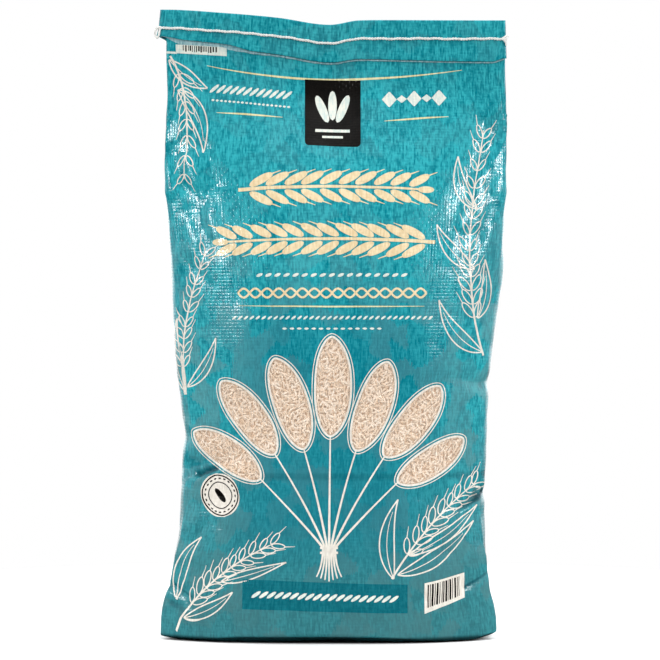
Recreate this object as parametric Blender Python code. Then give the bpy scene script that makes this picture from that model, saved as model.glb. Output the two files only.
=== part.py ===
"""A sewn-shut woven sack of rice, standing on its base. Metres, +Z up, the printed front faces -Y.

The sack is a tube of laminated woven tape: a front panel and a back panel with a narrow side panel
between them on each side. It is filled almost to the shoulders. Its empty top is pressed flat, folded
forward into a hem and sewn through with one white chain stitch. It stands on its base, whose front
edge is lifted a little and whose bottom corners stick out as ears. Seven clear windows shaped like
giant grains, set as a fan in the front, show the rice inside.
"""

import math
import random

import bpy
from mathutils import Vector

HEIGHT = 0.587
CLOTH = 0.0030  # the pressed-flat top: both panels and the side panels folded between them

# The outermost x of the sack at heights above the floor, left and right
LEFT_EDGE = (
    (0.000, -0.156),
    (0.030, -0.157),
    (0.053, -0.151),
    (0.095, -0.143),
    (0.150, -0.139),
    (0.180, -0.137),
    (0.260, -0.143),
    (0.345, -0.149),
    (0.400, -0.153),
    (0.457, -0.156),
    (0.512, -0.154),
    (0.545, -0.155),
)
RIGHT_EDGE = (
    (0.000, 0.147),
    (0.026, 0.150),
    (0.053, 0.145),
    (0.070, 0.142),
    (0.135, 0.140),
    (0.180, 0.142),
    (0.260, 0.147),
    (0.318, 0.152),
    (0.345, 0.157),
    (0.430, 0.161),
    (0.485, 0.1636),
    (0.545, 0.162),
)
# How far each panel's middle stands forward of its creases
BELLIES = (
    (0.000, 0.038),
    (0.060, 0.044),
    (0.150, 0.047),
    (0.250, 0.047),
    (0.330, 0.043),
    (0.400, 0.034),
    (0.450, 0.022),
    (0.495, 0.009),
    (0.530, 0.0012),
    (0.545, 0.0),
)
# Half the distance between the front crease and the back crease
SIDES = (
    (0.000, 0.015),
    (0.050, 0.018),
    (0.120, 0.025),
    (0.250, 0.026),
    (0.340, 0.022),
    (0.420, 0.013),
    (0.480, 0.005),
    (0.520, CLOTH / 2),
)
# How far a side panel's middle stands out beyond its creases; under 0 it is tucked in between them
SIDE_BULGES = (
    (0.000, -0.005),
    (0.060, -0.003),
    (0.130, 0.004),
    (0.300, 0.005),
    (0.400, 0.001),
    (0.450, -0.007),
    (0.495, -0.006),
    (0.520, 0.0),
)
BACK_SHARE = 0.92  # the back panel bulges a little less than the front
CROWN = 2.7  # the higher, the flatter a panel's middle
BACK_LEAN = 0.004  # the top stands this far behind the base
MIDDLE_Y = 0.0017  # the plane between the panels, with the front and back faces level about y = 0

# The bottom edge: how high it is lifted above the floor, along x, and how it rolls in below
FRONT_LIFTS = (
    (-0.157, 0.007),
    (-0.112, 0.005),
    (-0.082, 0.0083),
    (-0.016, 0.0095),
    (0.028, 0.0083),
    (0.105, 0.0025),
    (0.127, 0.002),
    (0.150, 0.015),
)
BACK_LIFT = 0.006
ROLL_IN = 0.024
ROLL = ((1.0, 0.0), (0.55, 0.14), (0.22, 0.42), (0.06, 0.80), (0.0, 1.30))  # inset and rise shares
WALL_FOOT = 0.021  # where the wall's own rows begin

# The hem, folded forward over the front and hanging free below its stitches
TOP_LINE = (
    (-0.155, 0.0),
    (-0.099, -0.003),
    (-0.050, -0.007),
    (-0.002, -0.013),
    (0.026, -0.0095),
    (0.150, -0.010),
)
TOP_WAVE = ((-0.160, 0.0), (-0.070, 0.003), (-0.004, 0.009), (0.040, 0.002), (0.160, 0.0))
SAG_FROM, SAG_TO = 0.430, 0.540
HEM_DEPTHS = (
    (-0.162, 0.025),
    (-0.138, 0.032),
    (-0.080, 0.035),
    (0.000, 0.036),
    (0.150, 0.039),
    (0.161, 0.036),
)
HEM_ENDS_LOW = (-0.1636, 0.1612)
HEM_ENDS_HIGH = (-0.1594, 0.1600)
HEM_THICK = 0.0022
HEM_FLARE = 0.0016  # how much further its free edge stands off
# Rings up the hem: 0 at the free edge, 1 at the stitches, 2 at the top, and share of the thickness
HEM_RINGS = ((-0.10, 0.0), (0.0, 0.45), (0.06, 0.9), (0.20, 1.0), (1.0, 1.0), (1.92, 1.0), (2.0, 0.4))
STITCH_DROP = 0.0178
STITCH = 0.0065
THREAD = 0.0018
GAP = 0.0003

# Creases across the front: from (x, z) to (x, z), how deep at the start, and how wide
CREASES = (
    ((-0.140, 0.1570), (-0.082, 0.1735), 0.0085, 0.010),
    ((0.140, 0.1370), (0.112, 0.1250), 0.0080, 0.009),
    ((0.144, 0.2390), (0.108, 0.2430), 0.0040, 0.007),
    ((0.146, 0.0630), (0.112, 0.0450), 0.0050, 0.008),
    ((-0.150, 0.0520), (-0.122, 0.0280), 0.0040, 0.008),
    ((-0.150, 0.4500), (-0.108, 0.3400), 0.0035, 0.014),
    ((0.156, 0.4800), (0.100, 0.3600), 0.0040, 0.014),
)
CREASE_LIP = 0.45  # a crease is this much steeper on its lower side
# Bites out of the side outlines: side, height, depth, and half height
NOTCHES = ((-1, 0.190, 0.002, 0.010), (1, 0.137, 0.004, 0.007), (1, 0.239, 0.002, 0.008))

# The rice windows, a fan of giant grains round one point
FAN_FOOT = (-0.003, 0.110)
GRAIN_LONG = 0.086
GRAIN_WIDE = 0.031
GRAIN_BOW = 0.0018
# Each window's turn from upright in degrees, its middle's distance from the foot, its share of full size
WINDOWS = (
    (-56, 0.112, 0.86),
    (-37, 0.122, 0.95),
    (-18, 0.116, 1.00),
    (1, 0.126, 1.05),
    (20, 0.115, 0.99),
    (39, 0.121, 0.94),
    (58, 0.110, 0.84),
)
POCKET = 0.004
RICE_RELIEF = 0.0005
GRAIN_ROWS, GRAIN_COLUMNS = 18, 6

FRONT_STEPS, BACK_STEPS, SIDE_STEPS = 36, 18, 4
FINE_FROM, FINE_TO = 0.115, 0.205  # rows stand closer together round the deep creases
FINE_ROW, COARSE_ROW = 0.0055, 0.012

COLOURS = {
    "sack": ((0.020, 0.300, 0.350), 0.32),
    "stitch_thread": ((0.85, 0.85, 0.82), 0.70),
    "rice": ((0.80, 0.62, 0.46), 0.45),
}


def profile(stations, at):
    """The smooth value at a place between (place, value) stations, level past both ends."""
    if at <= stations[0][0]:
        return stations[0][1]
    if at >= stations[-1][0]:
        return stations[-1][1]
    i = max(k for k in range(len(stations) - 1) if stations[k][0] <= at)

    def rise(k):
        return (stations[k + 1][1] - stations[k][1]) / (stations[k + 1][0] - stations[k][0])

    def slope(k):
        if k in (0, len(stations) - 1):
            return 0.0
        before, after = rise(k - 1), rise(k)
        return 2 * before * after / (before + after) if before * after > 0 else 0.0

    (start, low), (end, high) = stations[i], stations[i + 1]
    length = end - start
    t = (at - start) / length
    return (
        (2 * t**3 - 3 * t**2 + 1) * low
        + (t**3 - 2 * t**2 + t) * length * slope(i)
        + (3 * t**2 - 2 * t**3) * high
        + (t**3 - t**2) * length * slope(i + 1)
    )


def ramp(low, high, at):
    """0 below low, 1 above high, smooth between."""
    t = min(1.0, max(0.0, (at - low) / (high - low)))
    return t * t * (3 - 2 * t)


def crease_depth(x, z):
    """How far the creases press the front in at a place."""
    depth = 0.0
    for start, end, deep, wide in CREASES:
        dx, dz = end[0] - start[0], end[1] - start[1]
        length = math.hypot(dx, dz)
        along = ((x - start[0]) * dx + (z - start[1]) * dz) / length**2
        near = min(1.0, max(0.0, along))
        away = math.hypot(x - start[0] - near * dx, z - start[1] - near * dz)
        above = (z - start[1]) * abs(dx) - (x - start[0]) * dz * (1 if dx > 0 else -1)
        spread = wide if above > 0 else wide * CREASE_LIP
        depth += deep * (1 - 0.85 * near) * math.exp(-((away / spread) ** 2))
    return depth


def creases_x(z):
    """The x of the left and the right crease of both panels at a height."""
    bulge = max(0.0, profile(SIDE_BULGES, z))
    ends = []
    for way, edge in ((-1, LEFT_EDGE), (1, RIGHT_EDGE)):
        bite = sum(
            deep * math.exp(-(((z - at) / tall) ** 2)) for side, at, deep, tall in NOTCHES if side == way
        )
        ends.append(profile(edge, z) - way * (bulge + bite))
    return ends


def panel_y(x, z, share=1.0):
    """How far a panel stands from the sack's middle plane at a place."""
    left, right = creases_x(z)
    across = min(1.0, abs(2 * x - left - right) / (right - left))
    return profile(SIDES, z) + share * profile(BELLIES, z) * (1 - across**CROWN)


def plane_y(z):
    return MIDDLE_Y + BACK_LEAN * (z / HEIGHT) ** 2


def front_y(x, z):
    """The y of the front panel's face, without the hem."""
    return plane_y(z) - panel_y(x, z) + crease_depth(x, z)


def spaced(steps):
    """Shares from 0 to 1, closer together at both ends."""
    for i in range(steps + 1):
        t = 2 * i / steps - 1
        yield 0.5 + 0.5 * (0.4 * math.sin(t * math.pi / 2) + 0.6 * t)


def ring(z, ends=None):
    """The points round the sack at a height: front left to right, right side, back, left side."""
    left, right = ends or creases_x(z)
    side = profile(SIDES, z)
    bulge = profile(SIDE_BULGES, z)
    middle = plane_y(z)
    points = []
    for share in spaced(FRONT_STEPS):
        x = left + (right - left) * share
        points.append((x, middle - panel_y(x, z) + crease_depth(x, z)))
    dent = points[-1][1] - (middle - side)
    for i in range(1, SIDE_STEPS):
        along = 2 * i / SIDE_STEPS - 1
        points.append((right + bulge * (1 - along**2), middle + side * along + dent * (1 - along) / 2))
    for share in spaced(BACK_STEPS):
        x = right + (left - right) * share
        points.append((x, middle + panel_y(x, z, BACK_SHARE)))
    dent = points[0][1] - (middle - side)
    for i in range(1, SIDE_STEPS):
        along = 1 - 2 * i / SIDE_STEPS
        points.append((left - bulge * (1 - along**2), middle + side * along + dent * (1 - along) / 2))
    return points


def foot_rows():
    """Rings from the floor up round the rolled bottom edge."""
    foot = ring(WALL_FOOT * 0.6)
    for inset, rise in ROLL:
        row = []
        for x, y in foot:
            pull = 1 - ROLL_IN * inset / math.hypot(x, y)
            share = ramp(-0.03, 0.03, y)
            lift = profile(FRONT_LIFTS, x) * (1 - share) + BACK_LIFT * share
            row.append(Vector((x * pull, y * pull, lift * rise)))
        yield row


def sagged(x, y, z, amount):
    return Vector((x, y + profile(TOP_WAVE, x) * amount, z + profile(TOP_LINE, x) * amount))


def wall_heights():
    z = WALL_FOOT
    while z < SAG_TO:
        yield z
        z += FINE_ROW if FINE_FROM < z < FINE_TO else COARSE_ROW
    yield SAG_TO


def hem_ends(step):
    """The x of the hem's two ends, at a step up the hem."""
    return [low + (high - low) * step / 2 for low, high in zip(HEM_ENDS_LOW, HEM_ENDS_HIGH)]


def hem_drop(x, step):
    """How far below the top edge a step up the hem is."""
    if step > 1:
        return STITCH_DROP * (2 - step)
    return STITCH_DROP + (profile(HEM_DEPTHS, x) - STITCH_DROP) * (1 - step)


def hem_rows():
    """Rings from just under the hem's free edge up to the top edge."""
    for step, thick in HEM_RINGS:
        ends = hem_ends(step) if step >= 0 else creases_x(SAG_TO)
        forward = thick * (HEM_THICK + HEM_FLARE * (1 - ramp(0, 1, step)))
        row = []
        for k, (x, y) in enumerate(ring(HEIGHT, ends)):
            if k <= FRONT_STEPS:
                y -= forward
            row.append(sagged(x, y, HEIGHT - hem_drop(x, step), 1.0))
        yield row


def top_faces(first):
    """Faces across the flat top, two front steps to each back step."""
    front = list(range(first, first + FRONT_STEPS + 1))
    back_from = first + FRONT_STEPS + SIDE_STEPS
    back = list(range(back_from, back_from + BACK_STEPS + 1))[::-1]
    faces = []
    for i in range(BACK_STEPS):
        faces.append((front[2 * i], front[2 * i + 1], front[2 * i + 2], back[i + 1], back[i]))
    faces.append((front[-1], *range(first + FRONT_STEPS + 1, back_from), back[-1]))
    left = range(back_from + BACK_STEPS + 1, first + FRONT_STEPS + BACK_STEPS + 2 * SIDE_STEPS)
    faces.append((back[0], *left, front[0]))
    return faces


def add_object(name, points, faces, colour, smooth=True):
    mesh = bpy.data.meshes.new(name)
    mesh.from_pydata(points, [], faces)
    if smooth:
        mesh.shade_smooth()
    mesh.materials.append(material(colour))
    obj = bpy.data.objects.new(name, mesh)
    bpy.context.scene.collection.objects.link(obj)
    return obj


def material(name):
    """The material of that name, made on its first use."""
    if name in bpy.data.materials:
        return bpy.data.materials[name]
    colour, roughness = COLOURS[name]
    made = bpy.data.materials.new(name)
    made.use_nodes = True
    shader = made.node_tree.nodes["Principled BSDF"]
    shader.inputs["Base Color"].default_value = (*colour, 1)
    shader.inputs["Roughness"].default_value = roughness
    return made


def make_sack():
    """One closed skin: rings from the floor up, joined by quads, with the base and the top closed."""
    rings = list(foot_rows())
    for z in wall_heights():
        amount = ramp(SAG_FROM, SAG_TO, z)
        rings.append([sagged(x, y, z, amount) for x, y in ring(z)])
    rings += hem_rows()
    around = len(rings[0])
    faces = [tuple(reversed(range(around)))]
    for r in range(len(rings) - 1):
        for k in range(around):
            here, after = r * around + k, r * around + (k + 1) % around
            faces.append((here, after, after + around, here + around))
    faces += top_faces((len(rings) - 1) * around)
    return add_object("sack", [point for row in rings for point in row], faces, "sack")


def grain_outline(t):
    """A grain's half width at t, from -1 at its foot to 1 at its tip, as a share of the widest."""
    return (1 - abs(t) ** 2.3) ** 0.62


def grain_block(window, grow, out, deep, relief, name):
    """A closed block in a window's outline, from out before the front face to deep behind it."""
    turn, reach, size = window
    turn = math.radians(turn)
    rng = random.Random(name)
    half_long = GRAIN_LONG * size / 2 + grow
    half_wide = GRAIN_WIDE * size / 2 + grow
    points = []

    def place(t, across, offset):
        along = reach + t * half_long
        bow = GRAIN_BOW * (1 - t * t)
        x = FAN_FOOT[0] + along * math.sin(turn) + (across + bow) * math.cos(turn)
        z = FAN_FOOT[1] + along * math.cos(turn) - (across + bow) * math.sin(turn)
        points.append(Vector((x, front_y(x, z) + offset, z)))
        return len(points) - 1

    faces = []
    foot = place(-1, 0, -out), place(-1, 0, deep)
    tip = place(1, 0, -out), place(1, 0, deep)
    rows = []
    for i in range(1, GRAIN_ROWS):
        t = -math.cos(math.pi * i / GRAIN_ROWS)
        wide = half_wide * grain_outline(t)
        front = []
        for j in range(GRAIN_COLUMNS + 1):
            inner = 0 < j < GRAIN_COLUMNS
            bump = rng.uniform(-relief, relief) if inner else 0.0
            front.append(place(t, wide * (2 * j / GRAIN_COLUMNS - 1), -out - bump))
        rows.append((front, place(t, -wide, deep), place(t, wide, deep)))
    for (front, left, right), (front_up, left_up, right_up) in zip(rows, rows[1:]):
        for j in range(GRAIN_COLUMNS):
            faces.append((front[j], front[j + 1], front_up[j + 1], front_up[j]))
        faces.append((front[-1], right, right_up, front_up[-1]))
        faces.append((right, left, left_up, right_up))
        faces.append((left, front[0], front_up[0], left_up))
    for ends, (front, left, right), flip in ((foot, rows[0], False), (tip, rows[-1], True)):
        fan = [(ends[0], front[j + 1], front[j]) for j in range(GRAIN_COLUMNS)]
        fan += [(ends[0], ends[1], right, front[-1]), (ends[1], left, right)]
        fan += [(ends[1], ends[0], front[0], left)]
        faces += [tuple(reversed(face)) for face in fan] if flip else fan
    return add_object(name, points, faces, "rice", smooth=False)


def make_windows(sack):
    """The rice behind each window, in a shallow pocket that is cut into the sack."""
    pockets = bpy.data.collections.new("window_pockets")
    bpy.context.scene.collection.children.link(pockets)
    for i, window in enumerate(WINDOWS, 1):
        grain_block(window, 0.0, 0.0, POCKET, RICE_RELIEF, f"rice_window_{i}")
        cutter = grain_block(window, GAP, POCKET, POCKET + GAP, 0.0, f"window_pocket_{i}")
        cutter.hide_render = True
        cutter.display_type = "WIRE"
        bpy.context.scene.collection.objects.unlink(cutter)
        pockets.objects.link(cutter)
    cut = sack.modifiers.new("window_pockets", "BOOLEAN")
    cut.operand_type = "COLLECTION"
    cut.collection = pockets
    cut.solver = "EXACT"


def between(points, x):
    """The place at x on a line of points that runs left to right."""
    for low, high in zip(points, points[1:]):
        if x <= high.x:
            break
    return low.lerp(high, (x - low.x) / (high.x - low.x))


def thread_route():
    """The places of the thread's stitches, along the hem's front and back along its back."""
    ends = hem_ends(1)
    seam = [sagged(x, y, HEIGHT - STITCH_DROP, 1.0) for x, y in ring(HEIGHT, ends)]
    clear = GAP + THREAD * 0.62
    left, right = ends[0] - clear, ends[1] + clear
    steps = round((right - left) / STITCH)
    runs = []
    back_from = FRONT_STEPS + SIDE_STEPS
    for columns, forward in (
        (seam[: FRONT_STEPS + 1], HEM_THICK + clear),
        (seam[back_from : back_from + BACK_STEPS + 1][::-1], -clear),
    ):
        xs = [left + (right - left) * i / steps for i in range(steps + 1)]
        runs.append([between(columns, x) - Vector((0, forward, 0)) for x in xs])
    front, back = runs
    beyond = Vector((THREAD / 2, 0, 0))
    return front + [(front[-1] + back[-1]) / 2 + beyond] + back[::-1] + [(front[0] + back[0]) / 2 - beyond]


def make_thread():
    """The chain stitch as one closed strand round the hem, thick in each stitch, thin between."""
    route = thread_route()
    count = len(route)
    points = []
    for i, here in enumerate(route):
        after = route[(i + 1) % count]
        before = route[i - 1]
        for centre, thick in ((here, 0.72), ((here + after) / 2, 1.0)):
            way = (after - before).normalized()
            up = (Vector((0, 0, 1)) - way * way.z).normalized()
            out = way.cross(up)
            half = THREAD / 2 * thick
            points += [centre + out * half, centre + up * half, centre - out * half, centre - up * half]
    faces = []
    rows = len(points) // 4
    for i in range(rows):
        for k in range(4):
            here, side = i * 4, (i + 1) % rows * 4
            faces.append((here + k, side + k, side + (k + 1) % 4, here + (k + 1) % 4))
    add_object("stitch_thread", points, faces, "stitch_thread")


for old in list(bpy.data.objects):
    bpy.data.objects.remove(old)
make_windows(make_sack())
make_thread()
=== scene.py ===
"""A sewn-shut woven sack of rice on a white floor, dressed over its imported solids."""

import math
import random

import bpy
import numpy as np
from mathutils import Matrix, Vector


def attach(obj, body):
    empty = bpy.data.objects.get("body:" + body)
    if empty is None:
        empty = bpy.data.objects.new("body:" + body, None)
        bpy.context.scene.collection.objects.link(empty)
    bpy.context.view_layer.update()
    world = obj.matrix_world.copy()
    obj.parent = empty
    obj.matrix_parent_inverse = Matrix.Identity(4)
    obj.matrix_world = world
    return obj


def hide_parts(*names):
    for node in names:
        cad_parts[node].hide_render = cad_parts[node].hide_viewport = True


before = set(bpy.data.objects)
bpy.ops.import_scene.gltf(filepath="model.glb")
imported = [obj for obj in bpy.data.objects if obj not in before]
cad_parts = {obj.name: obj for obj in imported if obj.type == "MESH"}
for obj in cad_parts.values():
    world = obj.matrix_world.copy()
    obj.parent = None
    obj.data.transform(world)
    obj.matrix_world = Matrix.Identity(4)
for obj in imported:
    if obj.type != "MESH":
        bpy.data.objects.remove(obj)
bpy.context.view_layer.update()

scene = bpy.context.scene

# Camera
# A long lens looks straight on, level with the sack's middle, as for a shop's picture of a pack.
PIXEL = 0.000934  # the width at y = 0 that one pixel of the 660 covers
CAMERA_AWAY = 2.3
CAMERA_UP = 0.2872
camera_data = bpy.data.cameras.new("camera")
camera_data.lens = camera_data.sensor_width * CAMERA_AWAY / (660 * PIXEL)
camera = bpy.data.objects.new("camera", camera_data)
camera.location = (-2 * PIXEL, -CAMERA_AWAY, CAMERA_UP)
camera.rotation_euler = (math.pi / 2, 0, 0)
scene.collection.objects.link(camera)
scene.camera = camera
scene.view_settings.view_transform = "Standard"

# Floor and light
# White paper under the sack, bright enough to run into the white behind it, with a soft light over
# it and a tall soft box to each side, which the gloss of the shoulders picks up.
PAPER_ACROSS = 1.5
PAPER_SIDES = 96
rim = []
for i in range(PAPER_SIDES):
    turn = 2 * math.pi * i / PAPER_SIDES
    rim.append((PAPER_ACROSS / 2 * math.cos(turn), PAPER_ACROSS / 2 * math.sin(turn), 0))


def new_object(name, points, faces, material):
    """An object of points and faces, in one material."""
    mesh = bpy.data.meshes.new(name)
    mesh.from_pydata(points, [], faces)
    mesh.materials.append(material)
    made = bpy.data.objects.new(name, mesh)
    scene.collection.objects.link(made)
    return made


class Wire:
    """A shader socket that takes part in plain arithmetic, and can start any other node."""

    def __init__(self, tree, socket=None):
        self.tree, self.socket = tree, socket

    def node(self, kind, settings, inputs, output=0):
        """Any node: its type, its settings, and the values or links of its sockets."""
        made = self.tree.nodes.new("ShaderNode" + kind)
        for name, value in settings.items():
            if name == "stops":
                stops = made.color_ramp.elements
                stops[1].position, stops[1].color = value[-1]
                for stop, (place, color) in enumerate(value[:-1]):
                    element = stops[0] if stop == 0 else stops.new(place)
                    element.position, element.color = place, color
            else:
                setattr(made, name, value)
        for name, value in inputs.items():
            if isinstance(value, Wire):
                self.tree.links.new(value.socket, made.inputs[name])
            else:
                made.inputs[name].default_value = value
        return Wire(self.tree, made.outputs[output])

    def math(self, operation, *values):
        return self.node("Math", {"operation": operation}, dict(enumerate(values)))

    def __add__(self, other):
        return self.math("ADD", self, other)

    __radd__ = __add__

    def __mul__(self, other):
        return self.math("MULTIPLY", self, other)

    __rmul__ = __mul__

    def __sub__(self, other):
        return self.math("SUBTRACT", self, other)

    def __rsub__(self, other):
        return self.math("SUBTRACT", other, self)

    def __truediv__(self, other):
        return self.math("DIVIDE", self, other)

    def __pow__(self, other):
        return self.math("POWER", self, other)

    def __abs__(self):
        return self.math("ABSOLUTE", self)

    def __mod__(self, other):
        return self.math("FLOORED_MODULO", self, other)

    def band(self, low, high):
        """0 below low, 1 above high, smooth between."""
        settings = {"interpolation_type": "SMOOTHSTEP"}
        return self.node("MapRange", settings, {"Value": self, "From Min": low, "From Max": high})

    def between(self, first, second):
        """Two colours, mixed by this value."""
        return self.node("Mix", {"data_type": "RGBA"}, {0: self, 6: first, 7: second}, 2)


def new_finish(name, **constants):
    """A material, with its shader's even values set, and a wire to start its nodes from."""
    material = bpy.data.materials.new(name)
    material.use_nodes = True
    shader = material.node_tree.nodes["Principled BSDF"]
    for socket, value in constants.items():
        shader.inputs[socket.replace("_", " ")].default_value = value
    return material, shader, Wire(material.node_tree)


paper, _, _ = new_finish("white_paper", Base_Color=(0.97, 0.97, 0.97, 1), Roughness=0.9)
floor = new_object("floor", rim, [tuple(range(PAPER_SIDES))], paper)
floor.visible_glossy = False  # reflections don't show it, so it puts no haze on the gloss

# The room: dim in front of the sack, bright behind it where the lit backdrop stands, which the sides
# reflect at a glancing angle, and dark below the level of the floor. The camera sees plain white.
world = bpy.data.worlds.new("studio")
world.use_nodes = True
start = Wire(world.node_tree)
heading = start.node("TexCoord", {}, {}, 0)
backwards = start.node("SeparateXYZ", {}, {0: heading}, 1)
upwards = start.node("SeparateXYZ", {}, {0: heading}, 2)
FRONT_DIM, BACK_BRIGHT, BACKDROP = 0.09, 0.90, 1.3
room = backwards.band(-0.80, 0.30) * (BACK_BRIGHT - FRONT_DIM) + FRONT_DIM
above_floor = start.node("MapRange", {}, {"Value": upwards, "From Min": -0.12, "From Max": 0.04})
lit = (room + backwards.band(0.62, 0.95) * BACKDROP) * above_floor
seen = start.node("LightPath", {}, {}, 0)
strength = start.node("Mix", {}, {0: seen, 2: lit, 3: 1.0}, 0)
sky = world.node_tree.nodes["Background"]
world.node_tree.links.new(strength.socket, sky.inputs["Strength"])
sky.inputs["Color"].default_value = (1, 1, 1, 1)
scene.world = world

daylight_data = bpy.data.lights.new("daylight", "SUN")
daylight_data.energy = 1.9
daylight_data.angle = math.radians(40)
daylight = bpy.data.objects.new("daylight", daylight_data)
daylight.rotation_euler = Vector((0.0, 0.30, -1.0)).to_track_quat("-Z", "Y").to_euler()
scene.collection.objects.link(daylight)
daylight.visible_glossy = False  # a ceiling too broad and even to show as a reflection

# Name, place, what it points at, width and height in metres, and watts
LIGHTS = (
    ("left_box", (-1.65, -1.15, 1.10), (0.0, 0.0, 0.46), 0.50, 0.8, 12.0),
    ("right_box", (1.65, -1.15, 1.10), (0.0, 0.0, 0.46), 0.50, 0.8, 12.0),
    ("left_strip", (-1.26, -0.98, 1.03), (-0.12, 0.0, 0.42), 0.10, 0.28, 3.9),
    ("right_strip", (1.34, -0.90, 0.98), (0.13, 0.0, 0.42), 0.12, 0.30, 4.9),
    ("back_box", (1.10, 1.90, 1.20), (0.0, 0.0, 0.30), 0.50, 0.9, 7.0),
)
for name, place, target, wide, tall, watts in LIGHTS:
    light_data = bpy.data.lights.new(name, "AREA")
    light_data.shape = "RECTANGLE"
    light_data.size = wide
    light_data.size_y = tall
    light_data.energy = watts
    light = bpy.data.objects.new(name, light_data)
    light.location = place
    light.rotation_euler = (Vector(target) - Vector(place)).to_track_quat("-Z", "Y").to_euler()
    scene.collection.objects.link(light)

# Sack
# One tube of flat plastic tape, woven, printed and coated with a thin gloss film. It is filled
# almost to the shoulders; its top is pressed flat and folded forward into a hem. The sizes are those
# of the solid that it stands for, and finer creases are added along the skin's own normal.
HEIGHT = 0.587
CLOTH = 0.0030
LEFT_EDGE = (
    (0.000, -0.1575), (0.014, -0.1592), (0.030, -0.1578), (0.053, -0.1510), (0.095, -0.1435),
    (0.150, -0.1405), (0.180, -0.1395), (0.260, -0.1450), (0.345, -0.1510), (0.400, -0.1540),
    (0.457, -0.1560), (0.512, -0.1540), (0.545, -0.1550),
)
RIGHT_EDGE = (
    (0.000, 0.1500), (0.014, 0.1528), (0.030, 0.1505), (0.053, 0.1460), (0.075, 0.1435),
    (0.135, 0.1420), (0.180, 0.1440), (0.260, 0.1490), (0.318, 0.1560), (0.345, 0.1590),
    (0.430, 0.1620), (0.485, 0.1636), (0.545, 0.1620),
)
BELLIES = (
    (0.000, 0.038), (0.060, 0.044), (0.150, 0.047), (0.250, 0.047), (0.330, 0.043), (0.400, 0.034),
    (0.450, 0.022), (0.495, 0.009), (0.530, 0.0012), (0.545, 0.0),
)
SIDES = (
    (0.000, 0.015), (0.050, 0.018), (0.120, 0.025), (0.250, 0.026), (0.340, 0.022), (0.420, 0.013),
    (0.480, 0.005), (0.520, CLOTH / 2),
)
SIDE_BULGES = (
    (0.000, -0.005), (0.060, -0.002), (0.120, 0.005), (0.300, 0.0072), (0.400, 0.0025), (0.450, -0.006),
    (0.495, -0.006), (0.520, 0.0),
)
BACK_SHARE = 0.92
CROWN = 2.7
BACK_LEAN = 0.004
MIDDLE_Y = 0.0017
FRONT_LIFTS = (
    (-0.159, 0.0035), (-0.112, 0.0042), (-0.082, 0.0080), (-0.016, 0.0095), (0.028, 0.0083),
    (0.105, 0.0025), (0.132, 0.002), (0.153, 0.008),
)
BACK_LIFT = 0.006
ROLL_IN = 0.024
ROLL = ((1.0, 0.0), (0.66, 0.16), (0.30, 0.50), (0.08, 0.82), (0.01, 1.00), (0.0, 1.30))
WALL_FOOT = 0.021
TOP_LINE = (
    (-0.155, 0.0), (-0.099, -0.003), (-0.050, -0.007), (-0.002, -0.013), (0.026, -0.0095), (0.150, -0.010),
)
TOP_WAVE = ((-0.160, 0.0), (-0.070, 0.003), (-0.004, 0.009), (0.040, 0.002), (0.160, 0.0))
SAG_FROM, SAG_TO = 0.430, 0.540
WALL_TOP = 0.555
HEM_DEPTHS = (
    (-0.162, 0.025), (-0.138, 0.0283), (-0.098, 0.0297), (-0.074, 0.0342), (0.000, 0.036),
    (0.150, 0.039), (0.161, 0.036),
)
HEM_ENDS_LOW = (-0.1640, 0.1632)
HEM_ENDS_HIGH = (-0.1604, 0.1622)
HEM_THICK = 0.0022
HEM_FLARE = 0.0006
STITCH_DROP = 0.0178
CREASES = (
    ((-0.140, 0.1570), (-0.082, 0.1735), 0.0085, 0.010),
    ((0.140, 0.1370), (0.112, 0.1250), 0.0080, 0.009),
    ((0.144, 0.2390), (0.108, 0.2430), 0.0040, 0.007),
    ((0.146, 0.0630), (0.112, 0.0450), 0.0028, 0.009),
    ((-0.150, 0.0520), (-0.122, 0.0280), 0.0040, 0.008),
    ((-0.150, 0.4500), (-0.108, 0.3400), 0.0035, 0.014),
    ((0.156, 0.4800), (0.100, 0.3600), 0.0040, 0.014),
)
CREASE_LIP = 0.45
NOTCHES = ((-1, 0.190, 0.002, 0.010), (1, 0.136, 0.0015, 0.005), (1, 0.239, 0.002, 0.008))

FRONT_COLUMNS, SIDE_COLUMNS, BACK_COLUMNS = 200, 14, 92
BACK_FROM = FRONT_COLUMNS + SIDE_COLUMNS
BACK_TO = BACK_FROM + BACK_COLUMNS
ROW = 0.0021


def profile(stations, at):
    """Smooth values between (place, value) stations, level past both ends."""
    places, values = np.array(stations, dtype=float).T
    rises = np.diff(values) / np.diff(places)
    same_way = rises[:-1] * rises[1:] > 0
    sums = np.where(same_way, rises[:-1] + rises[1:], 1.0)
    slopes = np.concatenate(([0], np.where(same_way, 2 * rises[:-1] * rises[1:] / sums, 0), [0]))
    at = np.clip(at, places[0], places[-1])
    i = np.clip(np.searchsorted(places, at, side="right") - 1, 0, len(rises) - 1)
    length = places[i + 1] - places[i]
    t = (at - places[i]) / length
    return (
        (2 * t**3 - 3 * t**2 + 1) * values[i]
        + (t**3 - 2 * t**2 + t) * length * slopes[i]
        + (3 * t**2 - 2 * t**3) * values[i + 1]
        + (t**3 - t**2) * length * slopes[i + 1]
    )


def ramp(low, high, at):
    """0 below low, 1 above high, smooth between."""
    t = np.clip((at - low) / (high - low), 0, 1)
    return t * t * (3 - 2 * t)


def from_line(x, z, start, end):
    """How far along a line a place is, from 0 to 1, and how far away from it."""
    dx, dz = end[0] - start[0], end[1] - start[1]
    near = np.clip(((x - start[0]) * dx + (z - start[1]) * dz) / (dx * dx + dz * dz), 0, 1)
    return near, np.hypot(x - start[0] - near * dx, z - start[1] - near * dz)


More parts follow.
